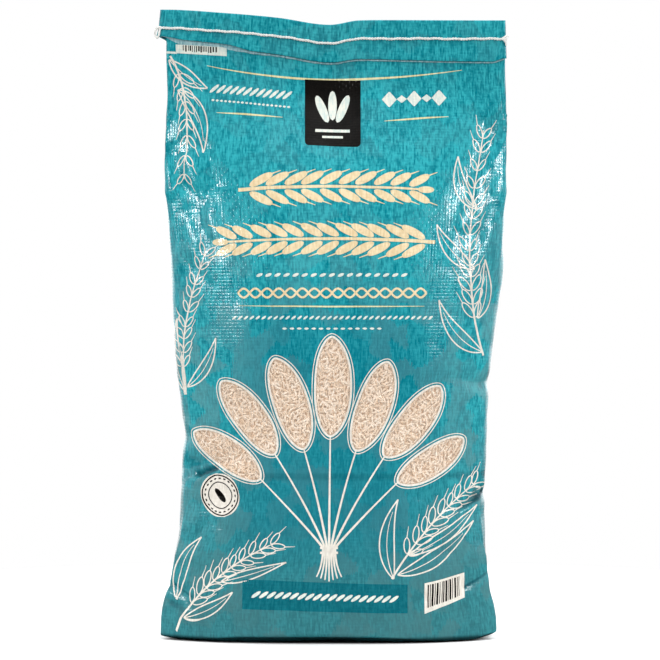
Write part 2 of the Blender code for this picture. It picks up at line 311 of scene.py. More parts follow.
def crease_depth(x, z):
    """How far the large creases press the front in at a place."""
    depth = 0.0 * x
    for start, end, deep, wide in CREASES:
        dx, dz = end[0] - start[0], end[1] - start[1]
        near, away = from_line(x, z, start, end)
        above = (z - start[1]) * abs(dx) - (x - start[0]) * dz * math.copysign(1, dx)
        spread = np.where(above > 0, wide, wide * CREASE_LIP)
        depth = depth + deep * (1 - 0.85 * near) * np.exp(-((away / spread) ** 2))
    return depth


def creases_x(z):
    """The x of the left and the right crease of both panels at a height."""
    bulge = np.maximum(0.0, profile(SIDE_BULGES, z))
    ends = []
    for way, edge in ((-1, LEFT_EDGE), (1, RIGHT_EDGE)):
        bite = sum(
            deep * np.exp(-(((z - at) / tall) ** 2)) for side, at, deep, tall in NOTCHES if side == way
        )
        ends.append(profile(edge, z) - way * (bulge + bite))
    return ends


def ring(z, ends=None):
    """The x and y of the points round the sack at a height: front, right side, back, left side."""
    left, right = ends if ends else creases_x(z)
    crease_left, crease_right = creases_x(z)
    side = profile(SIDES, z)
    bulge = profile(SIDE_BULGES, z)
    belly = profile(BELLIES, z)
    middle = MIDDLE_Y + BACK_LEAN * (z / HEIGHT) ** 2

    def panel(x, share):
        across = np.minimum(1, np.abs(2 * x - crease_left - crease_right) / (crease_right - crease_left))
        return side + share * belly * (1 - across**CROWN)

    front_x = left + (right - left) * np.arange(FRONT_COLUMNS + 1) / FRONT_COLUMNS
    front_y = middle - panel(front_x, 1.0) + crease_depth(front_x, z)
    back_x = right + (left - right) * np.arange(BACK_COLUMNS + 1) / BACK_COLUMNS
    back_y = middle + panel(back_x, BACK_SHARE)
    along = 2 * np.arange(1, SIDE_COLUMNS) / SIDE_COLUMNS - 1
    dents = front_y[[-1, 0]] - (middle - side)
    right_y = middle + side * along + dents[0] * (1 - along) / 2
    left_y = middle - side * along + dents[1] * (1 + along) / 2
    return (
        np.concatenate((front_x, right + bulge * (1 - along**2), back_x, left - bulge * (1 - along**2))),
        np.concatenate((front_y, right_y, back_y, left_y)),
    )


def sagged(x, y, z, amount):
    """Points of the slack top, let down and waved back."""
    return np.stack((x, y + profile(TOP_WAVE, x) * amount, z + profile(TOP_LINE, x) * amount), axis=-1)


def foot_row(inset, rise):
    """A ring of the rolled bottom edge."""
    x, y = ring(WALL_FOOT * 0.6)
    pull = 1 - ROLL_IN * inset / np.hypot(x, y)
    share = ramp(-0.03, 0.03, y)
    lift = profile(FRONT_LIFTS, x) * (1 - share) + BACK_LIFT * share
    return np.stack((x * pull, y * pull, lift * rise), axis=-1)


def hem_row(front_step, forward, front_wide, back_rise, back_wide):
    """A ring of the hem. In front, steps run from 0 at its free edge, 1 at the stitches, to 2 at the
    top. Behind, the rise runs from 0 at the wall's top row to 1 at the top."""
    narrow = creases_x(WALL_TOP)
    rings = []
    back_z = WALL_TOP + (HEIGHT - WALL_TOP) * back_rise
    for is_front, step, wide in ((True, front_step, front_wide), (False, 2 * back_rise, back_wide)):
        hem_wide = [low + (high - low) * step / 2 for low, high in zip(HEM_ENDS_LOW, HEM_ENDS_HIGH)]
        x, y = ring(HEIGHT, [near + (far - near) * wide for near, far in zip(narrow, hem_wide)])
        depth = profile(HEM_DEPTHS, x)
        drop = STITCH_DROP * (2 - step) if step > 1 else STITCH_DROP + (depth - STITCH_DROP) * (1 - step)
        rings.append(np.stack((x, y, (HEIGHT - drop if is_front else back_z) + 0 * x), axis=-1))
    is_back = np.zeros(len(x))
    turn = np.linspace(0, 1, SIDE_COLUMNS + 1)[1:-1]
    is_back[FRONT_COLUMNS + 1 : BACK_FROM] = turn
    is_back[BACK_FROM : BACK_TO + 1] = 1
    is_back[BACK_TO + 1 :] = turn[::-1]
    x, y, z = (rings[0] * (1 - is_back[:, None]) + rings[1] * is_back[:, None]).T
    return sagged(x, y - forward * (1 - is_back), z, 1.0)


def hem_path():
    """The rings of the hem: up behind its flap, round the free edge, up its face and over the top."""
    flare = HEM_THICK + HEM_FLARE
    yield 0.50, 0.0, 0.0, 0.04, 0.0
    yield 0.62, 0.18 * flare, 0.5, 0.06, 0.0
    yield 0.35, 0.38 * flare, 1.0, 0.08, 0.0
    yield 0.08, 0.52 * flare, 1.0, 0.10, 0.05
    for turn in range(6):
        angle = math.pi * turn / 5
        yield (
            0.03 - 0.03 * math.sin(angle), 0.78 * flare - 0.22 * flare * math.cos(angle), 1.0,
            0.11 + 0.01 * turn, 0.1,
        )
    for i in range(1, 13):
        step = 2 * i / 12 * 0.96
        bow = HEM_THICK + HEM_FLARE * (1 - ramp(0, 1, step))
        yield step, bow, 1.0, 0.16 + 0.80 * i / 12, ramp(-0.1, 0.6, i / 12)
    for turn in range(1, 5):
        angle = math.pi / 2 * turn / 4
        yield (
            1.92 + 0.08 * math.sin(angle), HEM_THICK * (0.2 + 0.8 * math.cos(angle)), 1.0,
            0.96 + 0.04 * math.sin(angle), 1.0,
        )


def smooth_roll(t):
    """Inset and rise round the rolled bottom edge, t from 0 to 1."""
    at = np.linspace(0, 1, len(ROLL))
    return [float(profile(list(zip(at, column)), t)) for column in zip(*ROLL)]


ROLL_ROWS = 14
rows = [foot_row(*smooth_roll(i / ROLL_ROWS)) for i in range(ROLL_ROWS + 1)]
wall_count = round((WALL_TOP - WALL_FOOT) / ROW)
wall_z = np.linspace(WALL_FOOT, WALL_TOP, wall_count + 1)
for z in wall_z:
    x, y = ring(z)
    rows.append(sagged(x, y, z, ramp(SAG_FROM, SAG_TO, z)))
FIRST_WALL = ROLL_ROWS + 1
LAST_WALL = FIRST_WALL + wall_count
rows += [hem_row(*step) for step in hem_path()]
skin = np.array(rows)
AROUND = skin.shape[1]


def grid_normals(grid):
    """Outward normals of a grid that closes round on itself."""
    along = np.roll(grid, -1, 1) - np.roll(grid, 1, 1)
    up = np.gradient(grid, axis=0)
    out = np.cross(along, up)
    return out / np.maximum(np.linalg.norm(out, axis=-1, keepdims=True), 1e-12)


# Where each point lies on the cloth laid flat: across from the middle of the front, and up
reference = skin[FIRST_WALL + round(0.230 / ROW)]
steps = np.linalg.norm(np.roll(reference, -1, 0) - reference, axis=-1)
cloth_x = np.concatenate(([0], np.cumsum(steps)[:-1]))
GIRTH = float(steps.sum())
cloth_x -= cloth_x[FRONT_COLUMNS // 2]
rises = np.linalg.norm(np.diff(skin, axis=0), axis=-1)
cloth_z = np.zeros(skin.shape[:2])
cloth_z[FIRST_WALL : LAST_WALL + 1] = wall_z[:, None]
for i in range(FIRST_WALL - 1, -1, -1):
    cloth_z[i] = cloth_z[i + 1] - rises[i]
for i in range(LAST_WALL + 1, len(skin)):
    cloth_z[i] = cloth_z[i - 1] + rises[i - 1]

# Fine creases, pressed along the skin's normal: crumpled facets at the shoulders, sides and corners,
# slack waves, and the ridges between them
away = np.minimum(np.abs(cloth_x), GIRTH - np.abs(cloth_x))[None, :]
below_wall, above_wall = np.full(FIRST_WALL, WALL_FOOT), np.full(len(skin) - LAST_WALL - 1, WALL_TOP)
up = np.concatenate((below_wall, wall_z, above_wall))[:, None]
from_middle = np.where(cloth_x > GIRTH / 2, cloth_x - GIRTH, cloth_x)
behind = ramp(0.19, 0.24, away)
crumpled = 0.20 + 0.0 * away * up
for mask in (
    1.2 * ramp(0.080, 0.115, away) * ramp(0.30, 0.38, up) * (1 - 0.72 * ramp(0.135, 0.155, away)),
    0.40 * ramp(0.135, 0.160, away),
    0.60 * behind * (1 - 0.4 * ramp(0.30, 0.34, away)),
    1.1 * ramp(0.050, 0.110, away) * (1 - ramp(0.10, 0.18, up)) * (1 - 0.6 * ramp(0.135, 0.155, away)),
):
    crumpled = np.maximum(crumpled, mask)
crumpled = crumpled * ramp(0.0, 0.05, 0.532 - up)


def crumple(spacing, tilt, curl, seed):
    """The height of a sheet of curved facets that meet in sharp valleys."""
    draw = np.random.default_rng(seed)
    height = np.full(skin.shape[:2], -1.0)
    across, tall = round(GIRTH / spacing), round(HEIGHT / spacing)
    for i in range(across):
        for j in range(tall):
            jitter = draw.uniform(-0.4, 0.4, 2)
            lean = draw.normal(0, tilt, 2)
            dx = from_middle - ((i + 0.5 + jitter[0]) * spacing - GIRTH / 2)
            dx = (dx + GIRTH / 2) % GIRTH - GIRTH / 2
            columns = np.abs(dx) < 3 * spacing
            dz = up[:, 0] - (j + 0.5 + jitter[1]) * spacing
            band = np.abs(dz) < 3 * spacing
            piece = (
                lean[0] * dx[None, columns] + lean[1] * dz[band, None]
                - curl * (dx[None, columns] ** 2 + dz[band, None] ** 2)
            )
            cell = np.ix_(band, columns)
            height[cell] = np.maximum(height[cell], piece)
    return height


facets = crumple(0.026, 0.075, 4.5, 3) + 0.5 * crumple(0.012, 0.075, 9.0, 4)
facets -= facets[FIRST_WALL:LAST_WALL].mean()
slack = (
    0.35e-3 * np.sin(from_middle * 61 + 1.3 * np.sin(up * 17)) * np.sin(up * 23 + 1.1)
    + 0.25e-3 * np.sin(from_middle * 118 + up * 31 + 2.0)
)

# From, to, how deep (proud where below zero) and how wide
FINE_CREASES = (
    ((-0.1510, 0.4610), (-0.1325, 0.4427), -0.0012, 0.008),
    ((-0.1325, 0.4427), (-0.1040, 0.3690), -0.0016, 0.010),
    ((-0.1240, 0.4520), (-0.1100, 0.4490), -0.0006, 0.004),
    ((-0.1450, 0.4250), (-0.1180, 0.4050), 0.0010, 0.006),
    ((0.1570, 0.5110), (0.1466, 0.4650), -0.0013, 0.008),
    ((0.1466, 0.4650), (0.1340, 0.4250), -0.0016, 0.009),
    ((0.1340, 0.4250), (0.1180, 0.3850), -0.0009, 0.008),
    ((0.1460, 0.4000), (0.1280, 0.3500), 0.0010, 0.006),
    ((-0.1480, 0.1530), (-0.1240, 0.1545), 0.0042, 0.0042),
    ((-0.1240, 0.1545), (-0.1070, 0.1605), 0.0054, 0.0042),
    ((-0.1380, 0.1640), (-0.1260, 0.1670), 0.0010, 0.003),
    ((-0.1400, 0.2000), (-0.1050, 0.1860), -0.0010, 0.006),
    ((0.1500, 0.2380), (0.1280, 0.2360), 0.0024, 0.006),
    ((0.1400, 0.1385), (0.1180, 0.1245), 0.0050, 0.0042),
    ((0.1200, 0.0503), (0.1450, 0.0641), 0.0005, 0.0050),
    ((-0.1520, 0.0500), (-0.1300, 0.0400), 0.0012, 0.0050),
    ((-0.1500, 0.0360), (-0.1280, 0.0300), 0.0018, 0.006),
)
BACK_CREASES = (
    ((-0.1500, 0.4700), (-0.0900, 0.3900), -0.0016, 0.012),
    ((0.1560, 0.4900), (0.1060, 0.4100), -0.0018, 0.012),
    ((0.1480, 0.4000), (0.1000, 0.3500), 0.0012, 0.010),
    ((-0.1420, 0.1700), (-0.0700, 0.1850), 0.0026, 0.010),
    ((0.1430, 0.1500), (0.0800, 0.1300), 0.0026, 0.010),
    ((-0.1500, 0.0520), (-0.1000, 0.0300), 0.0018, 0.009),
    ((0.1450, 0.0600), (0.1000, 0.0420), 0.0018, 0.009),
    ((-0.0300, 0.5200), (-0.0500, 0.4300), -0.0010, 0.014),
    ((0.0500, 0.5200), (0.0350, 0.4400), 0.0010, 0.014),
)
front, back = np.zeros(AROUND, dtype=bool), np.zeros(AROUND, dtype=bool)
front[: FRONT_COLUMNS + 1] = True
back[BACK_FROM : BACK_TO + 1] = True
FADE_TO_END = 0.3
x, z = skin[..., 0], up + 0.0 * cloth_z
for panel, creases in ((front, FINE_CREASES), (back, BACK_CREASES)):
    for start, end, deep, wide in creases:
        near, distance = from_line(x, z, start, end)
        slack = slack - panel * deep * (1 - FADE_TO_END * near) * np.maximum(0, 1 - distance / wide)
# The pinched fold down each front corner, where the panel turns into the side
PINCH_DEEP, PINCH_WIDE = 0.0011, 0.0020
pinched = ramp(0.14, 0.18, up) * (1 - ramp(0.43, 0.48, up))
for corner in (cloth_x[0], cloth_x[FRONT_COLUMNS]):
    slack = slack - PINCH_DEEP * np.exp(-(((from_middle - corner) / PINCH_WIDE) ** 2)) * pinched
push = crumpled * facets + slack * (1 - ramp(0.50, 0.535, up))
push *= ramp(0, 0.030, up - WALL_FOOT + 0.012)
push[:FIRST_WALL] = 0
skin = skin + push[..., None] * grid_normals(skin)
outward = grid_normals(skin)


def linear(*color):
    """An sRGB colour in 0 to 255, as the shader's own linear values."""
    return tuple(
        (c / 255 / 12.92 if c <= 10 else ((c / 255 + 0.055) / 1.055) ** 2.4) for c in color
    ) + (1.0,)


TAPE = 0.0027  # the width of an upright tape
CROSSING = 0.0030  # and of one that runs across
WEAVE_DEEP = 0.00009


def worn_print_and_painted_shade(start, color, place, half_crossing, fleck, streak, folds):
    """The sack's ground colour: rubbed pale in patches and down the front, darker and greyer towards the
    bottom, deeper teal round the fan, and painted shade in its folds and where the foot turns under."""
    flat_x = start.node("SeparateXYZ", {}, {0: place}, 0)
    low = start.node("SeparateXYZ", {}, {0: place}, 1)
    across = flat_x / TAPE
    ragged = {0: across * 0.15 + fleck * 0.5, 1: half_crossing * 0.08 + streak * 0.5}
    patch = start.node("CombineXYZ", {}, ragged)
    rubbed = start.node("TexVoronoi", {"voronoi_dimensions": "2D"}, {"Vector": patch, "Scale": 1.0}, 1)
    rubbed = start.node("SeparateColor", {}, {0: rubbed}, 0).band(0.40, 0.75)
    color = (rubbed * (low.band(0.42, 0.22) * 0.42 + 0.10)).between(color, linear(100, 146, 150))
    # Darker and greyer towards the bottom.
    color = (low.band(0.28, 0.0) * 0.66).between(color, linear(60, 104, 108))
    round_fan = low.band(0.36, 0.26) * low.band(0.03, 0.12) * abs(flat_x).band(0.135, 0.045) * 0.55
    color = round_fan.between(color, linear(0, 112, 130))
    # Painted shade in the folds: the colour darkens to a deep teal near each fold's line, less towards its
    # end.
    for (from_x, from_z), (to_x, to_z), wide, strong in folds:
        dx, dz = to_x - from_x, to_z - from_z
        off_x, off_z = flat_x - from_x, low - from_z
        near = (off_x * dx + off_z * dz) / (dx * dx + dz * dz)
        near = start.math("MAXIMUM", start.math("MINIMUM", near, 1.0), 0.0)
        distance = ((off_x - near * dx) ** 2 + (off_z - near * dz) ** 2) ** 0.5
        fold_painted_shade = distance.band(wide, wide * 0.15) * (1 - near * 0.5) * strong
        color = fold_painted_shade.between(color, linear(0, 62, 76))
    # Painted shade at the foot: a near-black band where the front turns under towards the floor, running onto
    # the underside.
    painted_foot_shade = low.band(0.0070, 0.0030) * low.band(-0.022, -0.006) * 0.90
    return painted_foot_shade.between(color, linear(4, 24, 28))


def laminate(name, deep, light, roughness=0.10, worn_and_painted_shade=False, clear=None, folds=()):
    """Printed ink under clear film on woven tapes: streaks along each tape, and the weave's relief.
    Clear tapes let the rice through, and less where two of them overlap."""
    material, shader, start = new_finish(name, IOR=1.50)
    links = material.node_tree.links
    place = start.node("UVMap", {"uv_map": "Weave"}, {})
    across = start.node("SeparateXYZ", {}, {0: place}, 0) / TAPE
    along = start.node("SeparateXYZ", {}, {0: place}, 1) / CROSSING
    tape_x, tape_z = across % 1.0, along % 1.0
    which_x, which_z = across - tape_x, along - tape_z
    over = (which_x + which_z) % 2.0

    def dome(at):
        return start.math("SINE", at * math.pi)

    def flat(at):
        return 1 - abs(at * 2 - 1) ** 5

    relief = (1 - over) * dome(tape_z) * flat(tape_x) + over * dome(tape_x) * flat(tape_z) * 0.7

    def noise(x, z, detail=2.0):
        spot = start.node("CombineXYZ", {}, {0: x, 1: z})
        values = {"Vector": spot, "Scale": 1.0, "Detail": detail}
        return start.node("TexNoise", {"noise_dimensions": "2D"}, values)

    half_tape = across * 2.0 - (across * 2.0) % 1.0
    half_crossing = along * 2.0 - (along * 2.0) % 1.0
    streak = noise(half_tape * 7.31, along * 0.30)
    weft = noise(across * 0.34, half_crossing * 7.31)
    fleck = noise(across * 3.1, along * 0.55, 1.0)
    cloud = noise(across * 0.09, along * 0.03)
    ink = (streak * 0.50 + weft * 0.18 + fleck * 0.17 + cloud * 0.15).band(0.36, 0.64)
    color = ink.between(deep, light)
    if worn_and_painted_shade:
        color = worn_print_and_painted_shade(start, color, place, half_crossing, fleck, streak, folds)
    links.new(color.socket, shader.inputs["Base Color"])
    if clear:
        opacity = clear[0] + (1 - relief) * clear[1]
        links.new(opacity.socket, shader.inputs["Alpha"])
    gloss = roughness + (1 - relief) * 0.04
    links.new(gloss.socket, shader.inputs["Roughness"])
    bump = start.node("Bump", {}, {"Strength": 1.0, "Distance": WEAVE_DEEP, "Height": relief})
    links.new(bump.socket, shader.inputs["Normal"])
    return material


def grid_object(name, grid, flat_x, flat_z, material, closed=True):
    """A grid of points as a mesh, with where each lies on the flat cloth as its UV map."""
    rows, columns = grid.shape[:2]
    index = np.arange(rows * columns).reshape(rows, columns)
    corner_x = np.broadcast_to(flat_x, (rows, columns))
    near, far = index, np.roll(index, -1, 1)
    far_x = np.roll(corner_x, -1, 1).copy()
    if closed:
        far_x[:, -1] += GIRTH
    else:
        near, far = near[:, :-1], far[:, :-1]
    near_x, far_x = corner_x[:, : near.shape[1]], far_x[:, : near.shape[1]]
    far_z = np.roll(flat_z, -1, 1)[:, : near.shape[1]]
    near_z = flat_z[:, : near.shape[1]]
    faces = np.stack((near[:-1], far[:-1], far[1:], near[1:]), axis=-1).reshape(-1, 4)
    uv = np.stack(
        (
            np.stack((near_x[:-1], near_z[:-1]), -1), np.stack((far_x[:-1], far_z[:-1]), -1),
            np.stack((far_x[1:], far_z[1:]), -1), np.stack((near_x[1:], near_z[1:]), -1),
        ),
        axis=-2,
    )
    made = new_object(name, grid.reshape(-1, 3).tolist(), faces.tolist(), material)
    made.data.uv_layers.new(name="Weave").data.foreach_set("uv", uv.reshape(-1).astype(np.float32))
    made.data.shade_smooth()
    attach(made, "root")
    return made


def skin_at(column, row, lift=0.0):
    """Points on the skin and on the flat cloth, at places between the grid's points."""
    column, row = np.asarray(column, dtype=float), np.asarray(row, dtype=float)
    left = np.floor(column).astype(int)
    low = np.clip(np.floor(row).astype(int), 0, len(skin) - 2)
    share_x, share_z = (column - left)[..., None], (row - low)[..., None]

    def blend(field):
        lower = field[low, left % AROUND] * (1 - share_x) + field[low, (left + 1) % AROUND] * share_x
        upper = field[low + 1, left % AROUND] * (1 - share_x) + field[low + 1, (left + 1) % AROUND] * share_x
        return lower * (1 - share_z) + upper * share_z

    ends = np.append(cloth_x, cloth_x[0] + GIRTH)
    flat_x = ends[left] + (ends[left + 1] - ends[left]) * (column - left)
    flat_z = blend(cloth_z[..., None])[..., 0]
    return blend(skin) + blend(outward) * lift, np.stack((flat_x, flat_z), axis=-1)


def panel_place(x, z, behind=False):
    """The grid's column and row at a place on the front panel, or on the back."""
    at = z
    for _ in range(4):
        at = z - profile(TOP_LINE, x) * ramp(SAG_FROM, SAG_TO, at)
    left, right = creases_x(at)
    share = (x - left) / (right - left)
    row = FIRST_WALL + (at - WALL_FOOT) / (WALL_TOP - WALL_FOOT) * wall_count
    on_roll = np.interp(at, cloth_z[: FIRST_WALL + 1, FRONT_COLUMNS // 2], np.arange(FIRST_WALL + 1))
    row = np.where(at < WALL_FOOT, on_roll, row)
    if behind:
        return BACK_TO - share * BACK_COLUMNS, row
    return share * FRONT_COLUMNS, row


# The clear places in the print: seven large grains in a fan. The skin is let in by the depth of two
# layers of rice there, and its edge follows each outline.
FAN_FOOT = (-0.003, 0.110)
GRAIN_LONG = 0.086
GRAIN_WIDE = 0.031
GRAIN_BOW = 0.0018
WINDOWS = (
    (-56, 0.112, 0.86), (-37, 0.122, 0.95), (-18, 0.116, 1.00), (1, 0.126, 1.05),
    (20, 0.115, 0.99), (39, 0.121, 0.94), (58, 0.110, 0.84),
)
BED_DEEP = 0.0026
SNAP = 0.00115  # a point of the skin this near an outline moves onto it


def half_wide(window, t):
    """A window's half width at t, from -1 at its foot to 1 at its tip."""
    return GRAIN_WIDE * window[2] / 2 * np.maximum(0, 1 - np.abs(t) ** 2.3) ** 0.62


def window_place(window, t, across):
    """x and z on the front of a place in a window, across in metres from its bowed middle."""
    turn, reach, size = math.radians(window[0]), window[1], window[2]
    along = reach + t * GRAIN_LONG * size / 2
    across = across + GRAIN_BOW * (1 - t * t)
    return (
        FAN_FOOT[0] + along * math.sin(turn) + across * math.cos(turn),
        FAN_FOOT[1] + along * math.cos(turn) - across * math.sin(turn),
    )


def window_edge(window, grow, count):
    """Points round a window's outline, grown by a margin."""
    turn = np.linspace(0, 2 * math.pi, count, endpoint=False)
    t = np.cos(turn)
    half = half_wide(window, t) * np.sign(np.sin(turn) + 1e-9)
    x, z = window_place(window, t, half)
    if grow:
        dx, dz = np.roll(x, -1) - np.roll(x, 1), np.roll(z, -1) - np.roll(z, 1)
        length = np.hypot(dx, dz)
        x, z = x - dz / length * grow, z + dx / length * grow
    return x, z


wall = slice(FIRST_WALL, LAST_WALL + 1)
panel_x = skin[wall, : FRONT_COLUMNS + 1, 0].copy()
panel_z = np.broadcast_to(wall_z[:, None], panel_x.shape).copy()
in_window = np.zeros(skin.shape[:2], dtype=bool)
let_in = np.zeros(skin.shape[:2])
moved = np.zeros(panel_x.shape, dtype=bool)
for window in WINDOWS:
    turn, reach, size = math.radians(window[0]), window[1], window[2]
    dx, dz = panel_x - FAN_FOOT[0], panel_z - FAN_FOOT[1]
    t = (dx * math.sin(turn) + dz * math.cos(turn) - reach) / (GRAIN_LONG * size / 2)
    across = dx * math.cos(turn) - dz * math.sin(turn) - GRAIN_BOW * (1 - t * t)
    inside = (np.abs(t) < 1) & (np.abs(across) < half_wide(window, t))
    edge_x, edge_z = window_edge(window, 0.0, 400)
    near = (np.abs(t) < 1.1) & (np.abs(across) < GRAIN_WIDE * size / 2 + 0.004)
    where = np.argwhere(near)
    gaps = np.hypot(panel_x[near][:, None] - edge_x[None], panel_z[near][:, None] - edge_z[None])
    closest = gaps.argmin(axis=1)
    for (i, j), k, gap in zip(where, closest, gaps.min(axis=1)):
        if gap < SNAP:
            panel_x[i, j], panel_z[i, j] = edge_x[k], edge_z[k]
            moved[i, j] = True
            in_window[FIRST_WALL + i, j] = True
        elif inside[i, j]:
            in_window[FIRST_WALL + i, j] = True
            let_in[FIRST_WALL + i, j] = BED_DEEP
new_columns, new_rows = panel_place(panel_x[moved], panel_z[moved])
fitted, on_cloth = skin_at(new_columns, new_rows)
outlined = skin.copy()
outlined_cloth_x = np.broadcast_to(cloth_x, skin.shape[:2]).copy()
outlined_cloth_z = cloth_z.copy()
outlined[wall, : FRONT_COLUMNS + 1][moved] = fitted
outlined_cloth_x[wall, : FRONT_COLUMNS + 1][moved] = on_cloth[:, 0]
outlined_cloth_z[wall, : FRONT_COLUMNS + 1][moved] = on_cloth[:, 1]
outlined -= outward * let_in[..., None]

# The underside closes on a line along its middle, a little clear of the floor
BASE_ROWS = 12
BASE_HOLLOW = 0.0009
foot = skin[0]
spine = np.stack((foot[:, 0] * 0.86, np.full(AROUND, MIDDLE_Y), np.full(AROUND, BASE_HOLLOW)), axis=-1)
inwards = np.arange(BASE_ROWS, 0, -1)[:, None] / BASE_ROWS
base = foot + (spine - foot) * ramp(0, 1, inwards)[..., None]
base[..., 2] = BASE_HOLLOW * ramp(0, 1, inwards) + foot[:, 2] * (1 - inwards) ** 3
base_z = cloth_z[0][None, :] - np.linalg.norm(base - foot[None], axis=-1)
whole = np.concatenate((base, outlined))
whole_x = np.concatenate((np.broadcast_to(cloth_x, base_z.shape), outlined_cloth_x))
whole_z = np.concatenate((base_z, outlined_cloth_z))

# The folds of the front that are darkened with painted shade: from, to, how wide and how dark
SHADED_FOLDS = (
    ((-0.1420, 0.1530), (-0.1240, 0.1545), 0.0050, 0.50),
    ((-0.1070, 0.1610), (-0.1270, 0.1552), 0.0046, 0.95),
    ((0.1390, 0.1365), (0.1170, 0.1235), 0.0040, 0.95),
    ((0.1170, 0.0480), (0.1450, 0.0635), 0.0022, 0.85),
    ((-0.1500, 0.0350), (-0.1290, 0.0250), 0.0040, 0.50),
    ((-0.1460, 0.0520), (-0.1280, 0.0400), 0.0015, 0.60),
)


def on_flat_cloth(x, z):
    """Where a place on the front lies on the cloth laid flat."""
    return [float(part) for part in skin_at(*panel_place(np.array(x), np.array(z)))[1]]


folds = [(on_flat_cloth(*a), on_flat_cloth(*b), wide, strong) for a, b, wide, strong in SHADED_FOLDS]
teal_deep, teal_light = linear(0, 124, 139), linear(52, 177, 188)
teal = laminate("printed_weave_and_painted_shade", teal_deep, teal_light, worn_and_painted_shade=True, folds=folds)
sack = grid_object("woven_sack", whole, whole_x, whole_z, teal)
bed, _, _ = new_finish("rice_in_shadow", Base_Color=linear(232, 204, 178), Roughness=0.8)
sack.data.materials.append(bed)
behind_glass = np.concatenate((np.zeros((BASE_ROWS, AROUND), dtype=bool), in_window))
corners = behind_glass & np.roll(behind_glass, -1, 1)
corners = (corners[:-1] & corners[1:]).reshape(-1)
sack.data.polygons.foreach_set("material_index", corners.astype(np.int32))
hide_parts("sack")

# Rice in the windows
# Dry long grains behind each clear place, two layers of them pressed flat against the film. Each is
# a closed mesh of its own, about 7 mm long and 2 mm thick, a little blunter at one end.
GRAIN_RINGS = ((-0.80, 0.62), (-0.30, 0.98), (0.32, 0.95), (0.80, 0.52))
GRAIN_SIDES = 6
GRAIN_LONGS = (0.0060, 0.0074)
GRAIN_THICKS = (0.00185, 0.00215)
HALF_GRAIN = 0.0011
FROM_EDGE = 0.0006
grain_draw = random.Random(11)


def add_grain(points, faces, shades, centre, way, flat, long, thick, shade):
    """One grain: a spindle of six sides, lying along way with flat as its second axis."""
    third = way.cross(flat)
    first = len(points)
    points.append(centre - way * long / 2)
    shades.append((shade, 0.0))
    for t, wide in GRAIN_RINGS:
        for k in range(GRAIN_SIDES):
            angle = 2 * math.pi * k / GRAIN_SIDES
            side = flat * math.cos(angle) + third * math.sin(angle) * 0.86
            bend = third * 0.10 * thick * (1 - 2 * t * t)
            points.append(centre + way * t * long / 2 + side * wide * thick / 2 + bend)
            shades.append((shade, (t + 1) / 2))
    points.append(centre + way * long / 2)
    shades.append((shade, 1.0))
    last = len(points) - 1
    for k in range(GRAIN_SIDES):
        after = (k + 1) % GRAIN_SIDES
        faces.append((first, first + 1 + after, first + 1 + k))
        for ring_at in range(len(GRAIN_RINGS) - 1):
            here = first + 1 + ring_at * GRAIN_SIDES
            faces.append((here + k, here + after, here + GRAIN_SIDES + after, here + GRAIN_SIDES + k))
        faces.append((last - GRAIN_SIDES + k, last - GRAIN_SIDES + after, last))


rice, shader, start = new_finish("polished_rice", Roughness=0.42, IOR=1.50)
spot = start.node("UVMap", {"uv_map": "Grain"}, {})
pale = start.node("SeparateXYZ", {}, {0: spot}, 0)
end = start.node("SeparateXYZ", {}, {0: spot}, 1)
body = pale.between(linear(232, 206, 179), linear(255, 241, 225))
chalk = abs(end * 2 - 1).band(0.55, 1.0) * 0.5
rice_color = chalk.between(body, linear(252, 240, 224))
rice.node_tree.links.new(rice_color.socket, shader.inputs["Base Color"])
object_at = start.node("TexCoord", {}, {}, 3)
grit = start.node("TexNoise", {}, {"Vector": object_at, "Scale": 900.0, "Detail": 2.0})
bump = start.node("Bump", {}, {"Strength": 0.5, "Distance": 0.0002, "Height": grit})
rice.node_tree.links.new(bump.socket, shader.inputs["Normal"])

points, faces, shades = [], [], []
LAYERS = ((0.00205, 0.0027), (0.00100, 0.0025))  # how deep under the film, and how far apart
for window in WINDOWS:
    size = window[2]
    for depth, spacing in LAYERS:
        rows_of = round(GRAIN_LONG * size / spacing / 1.35)
        for i in range(rows_of):
            t = -1 + 2 * (i + 0.5) / rows_of
            half = float(half_wide(window, t)) - FROM_EDGE
            across_count = max(1, round(2 * half / (spacing * 1.35)))
            for j in range(across_count):
                t_here = t + grain_draw.uniform(-0.6, 0.6) * 2 / rows_of
                across = half * (2 * (j + 0.5) / across_count - 1)
                across += grain_draw.uniform(-0.5, 0.5) * spacing
                heading = grain_draw.uniform(0, math.pi)
                long = grain_draw.uniform(*GRAIN_LONGS)
                thick = grain_draw.uniform(*GRAIN_THICKS)
                spare = (1 - abs(t_here)) * GRAIN_LONG * size / 2
                if spare < long / 2:
                    heading = math.radians(window[0]) + grain_draw.uniform(-0.3, 0.3)
                    across *= 0.5
                reach_out = float(half_wide(window, min(0.999, abs(t_here))))
                if reach_out - abs(across) < long * 0.42:
                    heading = math.radians(window[0]) + grain_draw.uniform(-0.25, 0.25)
                    most = reach_out - HALF_GRAIN
                    across = max(-most, min(most, across)) if reach_out > 0.0012 else 0
                limit = 1 - (long / 2 + 0.0002) / (GRAIN_LONG * size / 2)
                t_here = max(-limit, min(limit, t_here))
                x, z = window_place(window, np.array(t_here), np.array(across))
                column, row = panel_place(x, z)
                sunk = depth + grain_draw.uniform(-0.0001, 0.0003)
                here = Vector(skin_at(column, row, -sunk)[0])
                out = Vector(skin_at(column, row, 1.0)[0] - skin_at(column, row, 0.0)[0])
                way = Vector((math.sin(heading), 0, math.cos(heading)))
                way = (way - out * way.dot(out)).normalized()
                way = (way + out * grain_draw.uniform(-0.10, 0.10)).normalized()
                side = way.cross(out).normalized()
                add_grain(points, faces, shades, here, way, side, long, thick, grain_draw.random())


